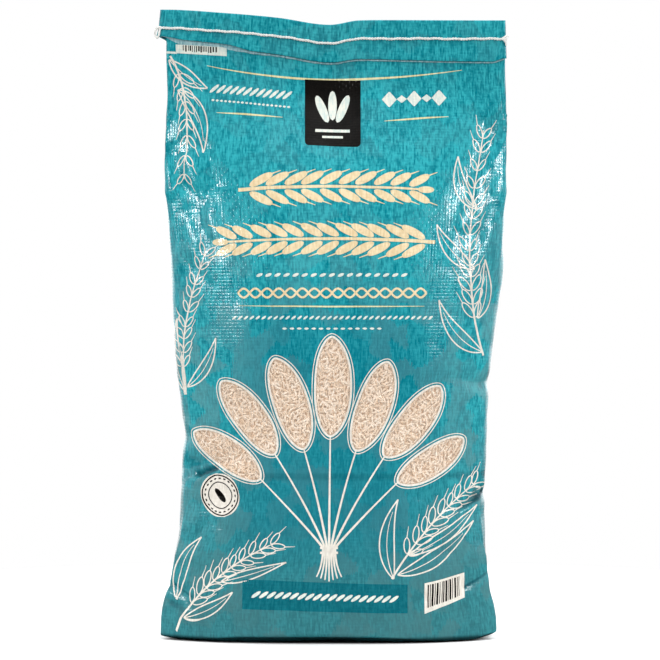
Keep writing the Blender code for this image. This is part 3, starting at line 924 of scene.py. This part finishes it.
def mapped_object(name, points, faces, material, uv_name, places):
    """A smooth object with a place on its UV map for each point."""
    made = new_object(name, points, faces, material)
    pairs = [places[corner.vertex_index] for corner in made.data.loops]
    made.data.uv_layers.new(name=uv_name).data.foreach_set("uv", [part for pair in pairs for part in pair])
    made.data.shade_smooth()
    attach(made, "root")
    return made


grains = mapped_object("rice", points, faces, rice, "Grain", shades)
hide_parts(*(f"rice_window_{number + 1}" for number in range(len(WINDOWS))))

# Clear film
# Where the print stops, the same gloss film runs on over the bare tapes, flush with the print.
film_deep, film_light = linear(240, 212, 184), linear(254, 240, 226)
film = laminate("clear_weave", film_deep, film_light, roughness=0.12, clear=(0.08, 0.26))
FILM_ROWS, FILM_COLUMNS = 44, 15
points, faces, on_weave = [], [], []
for window in WINDOWS:
    t = np.linspace(-1, 1, FILM_ROWS)[:, None]
    half = half_wide(window, t)
    x, z = window_place(window, t, half * np.linspace(-1, 1, FILM_COLUMNS)[None, :])
    index = len(points) + np.arange(FILM_ROWS * FILM_COLUMNS).reshape(FILM_ROWS, FILM_COLUMNS)
    squares = np.stack((index[:-1, :-1], index[:-1, 1:], index[1:, 1:], index[1:, :-1]), axis=-1)
    faces += squares.reshape(-1, 4).tolist()
    pane_points, on_cloth = skin_at(*panel_place(x, z), 0.00004)
    points += pane_points.reshape(-1, 3).tolist()
    on_weave += on_cloth.reshape(-1, 2).tolist()
panes = mapped_object("clear_film", points, faces, film, "Weave", on_weave)
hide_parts("sack")

# Thread
# A thick white cotton thread in chain stitch: in front one round strand from hole to hole, behind it
# the loops of the chain. Its two plies are twisted, and each stitch sinks where it goes through.
STITCH = 0.0065
PLY = 0.00072
PLY_TWIST = 0.0052


def tube(points, faces, path, radius, sides=6, closed=False):
    """A round strand along a path of points."""
    first = len(points)
    count = len(path)
    for i, centre in enumerate(path):
        ahead = path[(i + 1) % count if closed else min(i + 1, count - 1)]
        way = (ahead - path[i - 1 if closed or i else 0]).normalized()
        up = (Vector((0, 0, 1)) - way * way.z).normalized()
        out = way.cross(up)
        for k in range(sides):
            angle = 2 * math.pi * k / sides
            points.append(centre + (out * math.cos(angle) + up * math.sin(angle)) * radius)
    for i in range(count if closed else count - 1):
        here, after = first + i * sides, first + (i + 1) % count * sides
        for k in range(sides):
            turn = (k + 1) % sides
            faces.append((here + k, after + k, after + turn, here + turn))
    if not closed:
        faces.append(tuple(range(first, first + sides)))
        faces.append(tuple(range(first + (count - 1) * sides, first + count * sides))[::-1])


seam = hem_row(1.0, HEM_THICK, 1.0, 1 - STITCH_DROP / (HEIGHT - WALL_TOP), 1.0)
face_seam, rear_seam = seam[: FRONT_COLUMNS + 1], seam[BACK_FROM : BACK_TO + 1][::-1]
points, faces = [], []
seam_left, seam_right = (0.5 * low + 0.5 * high for low, high in zip(HEM_ENDS_LOW, HEM_ENDS_HIGH))
OVERHANG = 0.0006  # how far the thread runs past the cloth at each end
STITCHES = round((seam_right - seam_left) / STITCH)
PER_STITCH = 14


def on_seam(row, t):
    """The place on a face of the hem, t stitches from the left."""
    x = seam_left - OVERHANG + (seam_right - seam_left + 2 * OVERHANG) * t / STITCHES
    return x, *(float(np.interp(x, row[:, 0], row[:, axis])) for axis in (1, 2))


for ply in (0, 1):
    path = []
    for i in range(STITCHES * PER_STITCH + 1):
        t = i / PER_STITCH
        x, y, z = on_seam(face_seam, t)
        rise = abs(math.sin(math.pi * t)) ** 0.5
        angle = 2 * math.pi * (x / PLY_TWIST) + math.pi * ply
        wide = PLY * (0.55 + 0.35 * rise)
        proud = 0.00025 + 0.0009 * rise - wide * math.cos(angle) * 0.8
        sway = 0.00025 * math.sin(t * 2.4) + 0.0002 * math.sin(t * 0.7)
        path.append(Vector((x, y - proud, z + sway + wide * math.sin(angle))))
    tube(points, faces, path, PLY)
    path = []
    for i in range(STITCHES * PER_STITCH + 1):
        t = i / PER_STITCH
        x, y, z = on_seam(rear_seam, t)
        rise = abs(math.sin(math.pi * t))
        bulge = 0.00085 * rise * (1 if ply else -1)
        path.append(Vector((x, y + 0.0003 + 0.0006 * rise, z + bulge)))
    tube(points, faces, path, PLY * 1.15)
LEFT_LOOP = (
    (-0.1600, -0.0010, 0.0012), (-0.1626, -0.0014, 0.0008), (-0.1650, -0.0006, -0.0018),
    (-0.1655, 0.0000, -0.0052), (-0.1648, -0.0008, -0.0084), (-0.1632, -0.0016, -0.0092),
    (-0.1620, -0.0020, -0.0072), (-0.1612, -0.0016, -0.0030), (-0.1606, -0.0012, 0.0000),
)
RIGHT_TAILS = (
    (
        (0.1590, -0.0012, 0.0004), (0.1612, -0.0012, 0.0016), (0.1634, -0.0006, 0.0030),
        (0.1650, 0.0000, 0.0022),
    ),
    (
        (0.1590, -0.0012, -0.0002), (0.1608, -0.0014, -0.0012), (0.1624, -0.0008, -0.0034),
        (0.1628, -0.0002, -0.0060),
    ),
)
for tail, row_end in ((LEFT_LOOP, 0), (RIGHT_TAILS[0], -1), (RIGHT_TAILS[1], -1)):
    base_y, base_z = float(face_seam[row_end, 1]), float(face_seam[row_end, 2])
    knots = np.array(tail) + np.array((0, base_y, base_z))
    at = np.arange(len(knots))
    finer = np.linspace(0, len(knots) - 1, len(knots) * 5)
    path = [Vector([float(profile(list(zip(at, knots[:, axis])), t)) for axis in range(3)]) for t in finer]
    tube(points, faces, path, PLY * 1.35)
cotton, shader, start = new_finish("white_cotton", Roughness=0.9, Sheen_Weight=0.3)
object_at = start.node("TexCoord", {}, {}, 3)
fuzz = start.node("TexNoise", {}, {"Vector": object_at, "Scale": 1400.0, "Detail": 2.0})
white = fuzz.band(0.35, 0.65).between(linear(226, 226, 220), linear(255, 255, 252))
cotton.node_tree.links.new(white.socket, shader.inputs["Base Color"])
bump = start.node("Bump", {}, {"Strength": 0.6, "Distance": 0.0001, "Height": fuzz})
cotton.node_tree.links.new(bump.socket, shader.inputs["Normal"])
thread = new_object("cotton_thread", points, faces, cotton)
thread.data.shade_smooth()
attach(thread, "root")
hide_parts("stitch_thread")

# Hem lining
# Under the hem's free edge the cloth's bare back shows: a grey-blue strip at the left, where the fold
# was cut askew, that runs out into the thin cut edge along the rest.
LINING_DROPS = (
    (-0.1575, 0.0002), (-0.150, 0.0026), (-0.141, 0.0056), (-0.098, 0.0047), (-0.078, 0.0024),
    (-0.050, 0.0019), (0.030, 0.0015), (0.159, 0.0012),
)
face_edge = hem_row(0.0, 0.5 * HEM_THICK, 1.0, 0.0, 0.1)[: FRONT_COLUMNS + 1]
edge_x = np.linspace(-0.1605, 0.1610, 320)
edge_y = np.interp(edge_x, face_edge[:, 0], face_edge[:, 1])
edge_z = np.interp(edge_x, face_edge[:, 0], face_edge[:, 2])
drop = profile(LINING_DROPS, edge_x) * (1 + 0.10 * np.sin(edge_x * 410) * np.sin(edge_x * 130))
share = np.linspace(-0.5, 1, 7)[:, None]
proud = ramp(-0.105, -0.070, edge_x)
inset = (0.0002 + 0.0006 * share) * (1 - proud) - 0.0008 * np.sin(math.pi * np.maximum(0, share)) * proud
lining_z = edge_z - drop * share - 0.0001
lining_grid = np.stack((edge_x + 0 * share, edge_y + inset, lining_z), axis=-1)[::-1]
bare_back = laminate("bare_back", linear(108, 164, 175), linear(176, 210, 214), roughness=0.35)
lining_at = edge_x[None, :], lining_grid[..., 2]
lining = grid_object("hem_lining", lining_grid, *lining_at, bare_back, closed=False)
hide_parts("sack")

# A dark strip behind the lining's lower edge: painted shade, for the shade in the gap under the hem's fold.
gap_share = np.linspace(0, 1, 4)[:, None]
gap_z = edge_z - drop + 0.0004 - 0.0014 * gap_share
gap_grid = np.stack((edge_x + 0 * gap_share, edge_y + 0.0012 + 0 * gap_share, gap_z), axis=-1)[::-1]
painted_shade_finish, _, _ = new_finish("painted_fold_shade", Base_Color=linear(6, 50, 58), Roughness=0.6)
gap = grid_object("hem_gap_painted_shade", gap_grid, edge_x[None, :], gap_grid[..., 2], painted_shade_finish, closed=False)
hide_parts("sack")

# Print
# The whole design is printed flat on the sack before it is filled, in cream, warm white, gold, black
# and a deeper teal. It is laid out in units of 0.905 mm, across from the front's middle line and
# down from the top. Each ink is one thin layer that follows every fold of the skin.
UNIT = 0.000905
# How far up a line of the layout comes on the filled sack, and how wide a unit of it is there
LAYOUT_HEIGHTS = (
    (-60, 0.6530), (30, 0.5683), (60, 0.5418), (80, 0.5232), (100, 0.5034), (150, 0.4538),
    (200, 0.4064), (260, 0.3506), (330, 0.2872), (450, 0.1786), (560, 0.0788), (640, 0.0052),
    (740, -0.0860),
)
LAYOUT_UNITS = (
    (40, 0.000931), (100, 0.000922), (200, 0.000909), (330, 0.000904), (560, 0.000906), (640, 0.000912),
)
print_draw = random.Random(23)


def pointing(lean):
    """One unit of the layout, in the direction that leans from upright by degrees."""
    return np.array((math.sin(math.radians(lean)), -math.cos(math.radians(lean))))


class Ink:
    """One printed colour: strokes and filled shapes, gathered into one mesh."""

    def __init__(self, name, material, lift, behind=False):
        self.name, self.material, self.lift, self.behind = name, material, lift, behind
        self.points, self.uvs, self.faces = [], [], []

    def sheet(self, x, y, closed=False):
        """A grid of layout points as a sheet of faces."""
        x, y = np.asarray(x, dtype=float), np.asarray(y, dtype=float)
        across = x * profile(LAYOUT_UNITS, y) * (-1 if self.behind else 1)
        column, row = panel_place(across, profile(LAYOUT_HEIGHTS, y), self.behind)
        points, on_cloth = skin_at(column, row, self.lift)
        first, (rows, columns) = len(self.points), x.shape
        down_x, down_y = np.diff(x, axis=0)[:, 1:], np.diff(y, axis=0)[:, 1:]
        turn = (down_x * np.diff(y, axis=1)[1:] - down_y * np.diff(x, axis=1)[1:]).sum()
        outwards = (turn > 0) != self.behind
        self.points += points.reshape(-1, 3).tolist()
        self.uvs += on_cloth.reshape(-1, 2).tolist()
        for i in range(rows if closed else rows - 1):
            here, after = first + i * columns, first + (i + 1) % rows * columns
            for j in range(columns - 1):
                face = (here + j, here + j + 1, after + j + 1, after + j)
                self.faces.append(face if outwards else face[::-1])

    def stroke(self, path, width, closed=False, across=1):
        """A line of a width, or of a width that changes from 0 to 1 along it."""
        path = np.asarray(path, dtype=float)
        if closed:
            path = np.concatenate((path, path[:1]))
        lengths = np.concatenate(([0], np.cumsum(np.hypot(*np.diff(path, axis=0).T))))
        count = max(3, int(lengths[-1] / 1.5) + 2)
        at = np.linspace(0, lengths[-1], count)
        if closed:
            at = at[:-1]
        x, y = np.interp(at, lengths, path[:, 0]), np.interp(at, lengths, path[:, 1])
        if closed:
            dx, dy = np.roll(x, -1) - np.roll(x, 1), np.roll(y, -1) - np.roll(y, 1)
        else:
            dx, dy = np.gradient(x), np.gradient(y)
        length = np.hypot(dx, dy) + 1e-12
        wide = (width(at / lengths[-1]) if callable(width) else np.full(len(at), float(width))) / 2
        side = np.linspace(-1, 1, across + 1)[None, :]
        self.sheet(
            x[:, None] + (dy / length * wide)[:, None] * side,
            y[:, None] - (dx / length * wide)[:, None] * side,
            closed,
        )

    def bar(self, left, top, right, bottom, slope=0.0):
        """An upright rectangle, its right end lower by slope."""
        x = np.linspace(left, right, max(2, int((right - left) / 1.6) + 2))[:, None]
        y = np.linspace(top, bottom, max(2, int((bottom - top) / 1.6) + 2))[None, :]
        self.sheet(x + 0 * y, y + slope * (x - left) / (right - left))

    def seed(self, x, y, long, wide, lean=0.0):
        """A filled grain at a place, leaning from upright by degrees."""
        half = pointing(lean) * long / 2
        path = np.array((x, y)) + np.linspace(-1, 1, 25)[:, None] * half

        def round_ended(t):
            return wide * np.sqrt(np.maximum(0, 1 - np.abs(2 * t - 1) ** 2.2))

        self.stroke(path, round_ended, across=max(2, int(wide / 2.5)))

    def row(self, count, x, y, step_x, step_y, long, wide, lean):
        """A row of grains."""
        for i in range(count):
            self.seed(x + i * step_x, y + i * step_y, long, wide, lean)

    def lozenge(self, x, y, long, tall):
        """A filled diamond."""
        path = np.array((x, y)) + np.linspace(-1, 1, 13)[:, None] * np.array((long / 2, 0.0))
        self.stroke(path, lambda t: tall * (1 - np.abs(2 * t - 1)), across=3)

    def finish(self):
        """The mesh of all that is drawn in this ink."""
        made = mapped_object(self.name, self.points, self.faces, self.material, "Weave", self.uvs)
        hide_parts("sack")


def bend(start, middle, end, count=24):
    """Points on the curve from start to end that leans towards middle."""
    t = np.linspace(0, 1, count)[:, None]
    return (1 - t) ** 2 * np.array(start) + 2 * t * (1 - t) * np.array(middle) + t * t * np.array(end)


def grain_ring(x, y, long, wide, lean, count=36):
    """The outline of a grain."""
    turn = np.linspace(0, 2 * math.pi, count, endpoint=False)
    along, across = np.cos(turn) * long / 2, np.sin(turn) * wide / 2 * np.abs(np.sin(turn)) ** 0.15
    lean = math.radians(lean)
    ring_x = x + along * math.sin(lean) + across * math.cos(lean)
    ring_y = y - along * math.cos(lean) + across * math.sin(lean)
    return np.stack((ring_x, ring_y), axis=-1)


cream_ink = laminate("cream_ink", linear(226, 202, 158), linear(244, 226, 188))
white_ink = laminate("warm_white_ink", linear(206, 222, 216), linear(240, 240, 228))
pale_ink = laminate("pale_ink", linear(222, 215, 204), linear(241, 236, 226))
gold_ink = laminate("gold_ink", linear(214, 204, 148), linear(242, 234, 188))
black_ink = laminate("black_ink", linear(7, 6, 5), linear(16, 13, 11))
deep_ink = laminate("deep_teal_ink", linear(6, 96, 110), linear(22, 116, 129))

# Gold rules: thin lines of gold ink, full in the middle and run out at both ends, that frame the
# head of the design.
def rule(width):
    """The widths of a gold rule, full in its middle and thin at both ends."""
    return lambda t: width * (0.25 + 0.75 * np.sin(math.pi * t))


gold = Ink("print_gold", gold_ink, 0.00013)
gold.stroke(bend((-126, 68), (-10, 92.5), (131, 72.5), 60), rule(2.2))
gold.stroke(bend((-117, 113.5), (-80, 115.5), (-50, 118), 24), rule(1.7))
gold.stroke(bend((53, 122), (90, 119), (118, 117.5), 24), rule(1.7))
gold.stroke(bend((-95, 305.5), (0, 307), (93, 306), 40), rule(1.5))
gold.finish()

# Tag: a panel of black ink with round lower corners, and on it three plain white grains over two
# short bars.
tag = Ink("print_black_tag", black_ink, 0.00014)
down = np.linspace(0, 1, 44)
edge = np.where(down > 0.93, 3.2 * (1 - np.sqrt(np.maximum(0, 1 - ((down - 0.93) / 0.07) ** 2))), 0.0)
share = np.linspace(0, 1, 38)[None, :]
tag_left, tag_right = (-27.5 + edge)[:, None], (29 - edge)[:, None]
tag_x = tag_left + (tag_right - tag_left) * share
tag.sheet(tag_x, (81 + 64.5 * down)[:, None] + 1.6 * share)
tag.finish()
sign = Ink("print_tag_grains", white_ink, 0.00022)
for x, lean in ((-10, -24), (0.5, 0), (11, 24)):
    sign.seed(x, 106.5 + abs(lean) * 0.14, 29, 8.6, lean)
sign.bar(-17, 129.5, 18, 132.3, 0.6)
sign.bar(-10, 136.0, 11, 138.2, 0.4)
sign.finish()

# Head notes: on the left a rope of small slanting grains over a row of beads, on the right a chain of
# plain lozenges, in warm white.
notes = Ink("print_head_notes", white_ink, 0.00013)
notes.row(12, -119, 90.5, 6.7, 0.56, 12.5, 3.0, 52)
notes.row(19, -120.5, 101.6, 4.25, 0.36, 3.4, 2.1, 90)
for i in range(5):
    notes.lozenge(58 + i * 12.6, 101 - i * 0.4, 10.5 if i % 2 else 15.0, 7.5 if i % 2 else 16.0)
notes.finish()

# Friezes: two long ears of cream grains that lie across the front, one pointing each way, over a
# twist of two waved lines and rows of small grains.
def draw_frieze(ink, way, left, right, middle, pairs):
    """A long ear of filled grains that lies across the sack."""
    stem = bend((left, middle + 2.0), ((left + right) / 2, middle - 4.0), (right, middle + 2.0), 80)[::way]
    ink.stroke(stem, lambda t: 3.6 - 1.6 * t)
    for i in range(pairs):
        at = (i + 0.55) / (pairs + 0.4)
        for side in (-1, 1):
            lean = way * (90 + side * 27)
            long = 27.0 - 4.0 * at
            middle = stem[int(at * 79)] + pointing(lean) * long * 0.58 + (0, side * 2.2)
            ink.seed(*middle, long, 8.0, lean)
            tip = middle + pointing(lean) * long * 0.5
            reach_to = tip + pointing(lean - way * side * 7) * 8.5
            ink.stroke(np.array((tip - (reach_to - tip) * 0.2, reach_to)), lambda t: 1.5 - 0.9 * t)
    ink.seed(stem[-1][0] + way * 2.0, stem[-1][1], 17, 6.6, 90)


friezes = Ink("print_cream_friezes", cream_ink, 0.00013)
draw_frieze(friezes, 1, -95, 93, 187.5, 10)
draw_frieze(friezes, -1, -111, 104, 239.5, 12)
for side in (-1, 1):
    x = np.linspace(-95, 95, 170)
    friezes.stroke(np.stack((x, 292.7 + side * 4.6 * np.sin(x * 2 * math.pi / 23.75)), axis=-1), 2.1)
friezes.finish()
bands = Ink("print_white_bands", white_ink, 0.00013)
bands.row(17, -73, 274.6, 9.1, 0, 7.2, 3.0, 68)
bands.row(34, -98.5, 317.6, 6.0, 0, 6.0, 2.1, 52)
bands.row(14, -47.5, 328.6, 7.3, 0, 4.9, 2.1, 90)
bands.finish()

# Window rims and stalks: warm white lines round the clear places, and the stalks that carry them,
# tied by two bars near their foot.
rims = Ink("print_window_rims", pale_ink, 0.00015)


def layout_y(z):
    """The line of the layout that comes at a height on the filled sack."""
    lines_at = np.linspace(640, 30, 1221)
    return np.interp(z, profile(LAYOUT_HEIGHTS, lines_at), lines_at)


for number, window in enumerate(WINDOWS):
    for grow, width in ((0.0001, 2.0), (0.0028, 0.9)):
        x, z = window_edge(window, grow, 120)
        rims.stroke(np.stack((x / UNIT, layout_y(z)), axis=-1), width, closed=True)
    x, z = window_place(window, np.array((-1.0, -1.22)), np.array((0.0, 0.0)))
    foot_at = (x[0] / UNIT, float(layout_y(z[0])))
    tie = (-3.0 + (number - 3) * 2.0, 548)
    out = math.radians(window[0])
    lean_to = (foot_at[0] * 0.35 + tie[0] * 0.65, foot_at[1] * 0.5 + tie[1] * 0.5 + 8 * abs(math.sin(out)))
    rims.stroke(bend(tie, lean_to, foot_at), lambda t: 2.4 - 1.0 * t)
    low = (-3.0 + (number - 3) * 4.2, 582 - abs(number - 3) * 1.5)
    rims.stroke(bend(low, (tie[0], 565), tie), lambda t: 1.3 + 1.1 * t)
rims.bar(-12, 547, 6, 549.4)
rims.bar(-12, 552, 6, 554.4)
rims.finish()

# Rice ears and leaf blades: open line work in warm white along both edges of the front. The back
# has an ear and a blade at each edge too.
ears = Ink("print_ears_and_blades", pale_ink, 0.00013)


def draw_ear(ink, root, lean_to, tip, pairs, size):
    """A stalk with outlined grains in turn on either side, each with its awn."""
    path = bend(root, lean_to, tip, 60)
    ink.stroke(path, lambda t: 2.1 - 1.1 * t)
    for i in range(pairs):
        at = 0.22 + 0.76 * i / max(1, pairs - 1)
        spot = path[int(at * 59)]
        way = path[min(59, int(at * 59) + 2)] - path[int(at * 59) - 2]
        heading = math.degrees(math.atan2(way[0], -way[1]))
        for side in (-1, 1):
            lean = heading + side * print_draw.uniform(26, 38)
            long = size * print_draw.uniform(0.85, 1.1) * (1 - 0.25 * at)
            middle = spot + pointing(lean) * long * 0.62
            ink.stroke(grain_ring(*middle, long, long * 0.36, lean, 20), 1.1, closed=True)
            start_at = spot + pointing(lean) * long * 1.12
            awn = start_at + pointing(lean - side * 8) * long * 0.7
            ink.stroke(np.array((start_at, awn)), lambda t: 0.95 - 0.5 * t)


def draw_blade(ink, root, lean_to, tip, wide):
    """A long leaf: two edges that meet at its tip, and a rib."""
    path = bend(root, lean_to, tip, 40)
    dx, dy = np.gradient(path[:, 0]), np.gradient(path[:, 1])
    length = np.hypot(dx, dy)
    t = np.linspace(0, 1, 40)
    spread = wide / 2 * np.sin(math.pi * t**0.8)
    for side in (-1, 1):
        offset = np.stack((dy / length * spread * side, -dx / length * spread * side), axis=-1)
        ink.stroke(path + offset, 1.35)
    ink.stroke(path[:34], lambda t: 1.0 - 0.5 * t)


draw_ear(ears, (-163, 58), (-140, 96), (-150, 178), 7, 16)
draw_blade(ears, (-164, 62), (-146, 84), (-126, 90), 14)
draw_blade(ears, (-156, 92), (-128, 112), (-131, 152), 16)
draw_ear(ears, (-150, 396), (-160, 330), (-128, 250), 9, 16)
draw_blade(ears, (-150, 392), (-164, 362), (-158, 318), 11)
draw_blade(ears, (-148, 388), (-124, 372), (-118, 338), 11)
draw_ear(ears, (154, 356), (126, 270), (154, 130), 13, 18)
draw_blade(ears, (153, 352), (122, 342), (108, 300), 15)
draw_blade(ears, (148, 318), (162, 296), (156, 258), 12)
draw_blade(ears, (145, 268), (116, 254), (106, 224), 14)
draw_blade(ears, (147, 208), (124, 190), (128, 156), 13)
draw_ear(ears, (60, 580), (96, 520), (146, 486), 9, 19)
draw_blade(ears, (62, 580), (46, 540), (66, 500), 15)
draw_blade(ears, (66, 576), (108, 566), (144, 524), 15)
draw_blade(ears, (78, 556), (120, 540), (148, 508), 12)
draw_ear(ears, (-158, 630), (-124, 574), (-58, 544), 10, 18)
draw_blade(ears, (-158, 604), (-160, 566), (-132, 540), 13)
draw_blade(ears, (-150, 622), (-122, 616), (-100, 594), 12)
draw_blade(ears, (-112, 584), (-86, 578), (-46, 563), 10)
ears.finish()

# Seal: a disc of pale ink, printed a little askew, and over it dark rings, a ring of beads and one
# grain.
disc = Ink("print_seal", pale_ink, 0.00013)
SEAL = (-113.5, 497)
disc.seed(SEAL[0], SEAL[1], 44.5, 39.5, -12)
disc.finish()
rings = Ink("print_seal_rings", black_ink, 0.00021)
for size, width in ((41.0, 1.3), (27.0, 1.0)):
    rings.stroke(grain_ring(SEAL[0], SEAL[1], size, size * 0.9, -12, 60), width, closed=True)
for i in range(20):
    turn = 2 * math.pi * i / 20
    rings.seed(SEAL[0] + 15.6 * math.cos(turn), SEAL[1] + 17.2 * math.sin(turn), 3.4, 1.5, math.degrees(turn))
rings.seed(SEAL[0], SEAL[1], 17.5, 6.0, -38)
rings.finish()

# Fold gap: painted shade in the dark gap where the fold at the right opens at the front's edge, one
# short stroke that runs out.
fold_gap_painted_shade = Ink("fold_gap_painted_shade", painted_shade_finish, 0.00016)
fold_gap_painted_shade.stroke(np.array(((156.0, 488.0), (155.0, 491.0), (152.0, 496.0))), lambda t: 5.4 - 4.2 * t)
fold_gap_painted_shade.finish()

# Foot and labels: the deep teal band with a row of pale grains, the white label of upright dark
# lines beside it, and at the top left a label half tucked under the hem.
band = Ink("print_foot_band", deep_ink, 0.00013)
x = np.linspace(-90, 76, 110)[:, None]
y = np.linspace(0, 1, 22)[None, :]
lean = (x + 90) / 166
band.sheet(x + 0 * y, 580.5 + 5.5 * lean + (30 - 1.0 * lean) * y)
band.finish()
LABEL = (93, 585)
LABEL_WIDE, LABEL_TALL, LABEL_RISE = 41, 31, 9
labels = Ink("print_labels", pale_ink, 0.00013)
x = np.linspace(0, 1, 28)[:, None]
y = np.linspace(0, 1, 24)[None, :]
labels.sheet(LABEL[0] + LABEL_WIDE * x + 0 * y, LABEL[1] - LABEL_RISE * x + (LABEL_TALL - 6 * x) * y)
labels.finish()
TUCKED = (-157, 47.2)
tucked_label = Ink("print_tucked_label", white_ink, 0.00013)
x = np.linspace(0, 1, 40)[:, None]
y = np.linspace(0, 1, 9)[None, :]
tucked_label.sheet(TUCKED[0] + 51 * x + 0 * y, TUCKED[1] - 1.5 + 3.0 * x + 9.4 * y)
tucked_label.stroke(np.array(((-166.5, 54.2), (-156, 54.8))), 2.2)
tucked_label.finish()
small_lines = Ink("print_tucked_lines", black_ink, 0.00021)


def upright(x, wide, top, tall, count):
    """The grid of one upright line of a label."""
    across = np.array((x, x + wide))[:, None] + np.zeros((1, count))
    return across, top + np.linspace(0, tall, count)[None, :] + np.zeros((2, 1))


def upright_lines(at, end, widths, gaps):
    """The place and the width of each upright line of a label."""
    while at < end:
        wide = print_draw.choice(widths)
        yield at, wide
        at += wide + print_draw.choice(gaps)


for at, wide in upright_lines(7.0, 42.0, (0.7, 0.9, 1.4), (0.9, 1.2, 1.5)):
    x, top = TUCKED[0] + at, TUCKED[1] - 1.0 + 3.0 * at / 51
    small_lines.sheet(*upright(x, wide, top, print_draw.choice((5.6, 5.6, 6.6)), 5))
small_lines.finish()
label_lines = Ink("print_label_lines", black_ink, 0.00021)
for at, wide in upright_lines(3.0, 36.5, (0.7, 0.7, 1.2, 1.8), (0.7, 1.1, 1.6)):
    top = LABEL[1] + 2.2 - LABEL_RISE * at / LABEL_WIDE
    tall = (LABEL_TALL - 6 * at / 40) * 0.76
    label_lines.sheet(*upright(LABEL[0] + at, wide, top, tall, 14))
label_lines.finish()
foot_grains = Ink("print_foot_grains", white_ink, 0.00021)
for i in range(19):
    t = (i + 0.5) / 19
    foot_grains.seed(-80 + 146 * t, 595.5 + 5.0 * t, 11.5, 3.4, 56)
foot_grains.finish()

# Back print: the same inks in a plainer layout: a frieze at the head, a deep panel of rules and
# lozenges, a ruled table, a label of upright lines, an ear on each side and the band at the foot.
back_deep = Ink("print_back_panels", deep_ink, 0.00013, behind=True)
back_deep.bar(-108, 232, 108, 400)
back_deep.bar(-90, 584, 90, 612)
back_deep.finish()
back_cream = Ink("print_back_frieze", cream_ink, 0.00014, behind=True)
draw_frieze(back_cream, 1, -104, 100, 186, 11)
back_cream.finish()
back_white = Ink("print_back_white", white_ink, 0.00021, behind=True)
back_white.bar(-78, 249, 78, 254)
for i in range(11):
    y = 270 + i * 11
    back_white.lozenge(-96, y + 1.2, 5.5, 6.5)
    back_white.bar(-88, y, -88 + 176 * print_draw.uniform(0.72, 1.0), y + 2.4)
back_white.bar(-104, 430, -6, 556)
back_white.bar(22, 470, 100, 520)
back_white.row(20, -80, 598, 8.4, 0, 11.5, 3.4, 56)
draw_ear(back_white, (-136, 600), (-150, 500), (-128, 410), 9, 17)
draw_ear(back_white, (136, 600), (150, 500), (128, 410), 9, 17)
draw_blade(back_white, (-136, 600), (-116, 580), (-112, 560), 10)
draw_blade(back_white, (136, 600), (116, 580), (112, 560), 10)
back_white.finish()
back_gold = Ink("print_back_rules", gold_ink, 0.00014, behind=True)
back_gold.stroke(bend((-126, 100), (0, 118), (126, 100), 60), rule(2.2))
back_gold.stroke(bend((-100, 416), (0, 418), (100, 416), 40), rule(1.5))
back_gold.finish()
back_lines = Ink("print_back_lines", black_ink, 0.00029, behind=True)
back_lines.bar(-100, 435, -10, 440)
for i in range(11):
    back_lines.bar(-100, 448 + i * 9.4, -10, 448.9 + i * 9.4)
    back_lines.bar(-97, 451.5 + i * 9.4, -97 + print_draw.uniform(22, 46), 453.6 + i * 9.4)
    back_lines.bar(-26, 451.5 + i * 9.4, -13, 453.6 + i * 9.4)
for at, wide in upright_lines(27.0, 95.0, (0.9, 0.9, 1.5, 2.2), (0.9, 1.3, 1.9)):
    back_lines.bar(at, 475, at + wide, 511)
back_lines.finish()
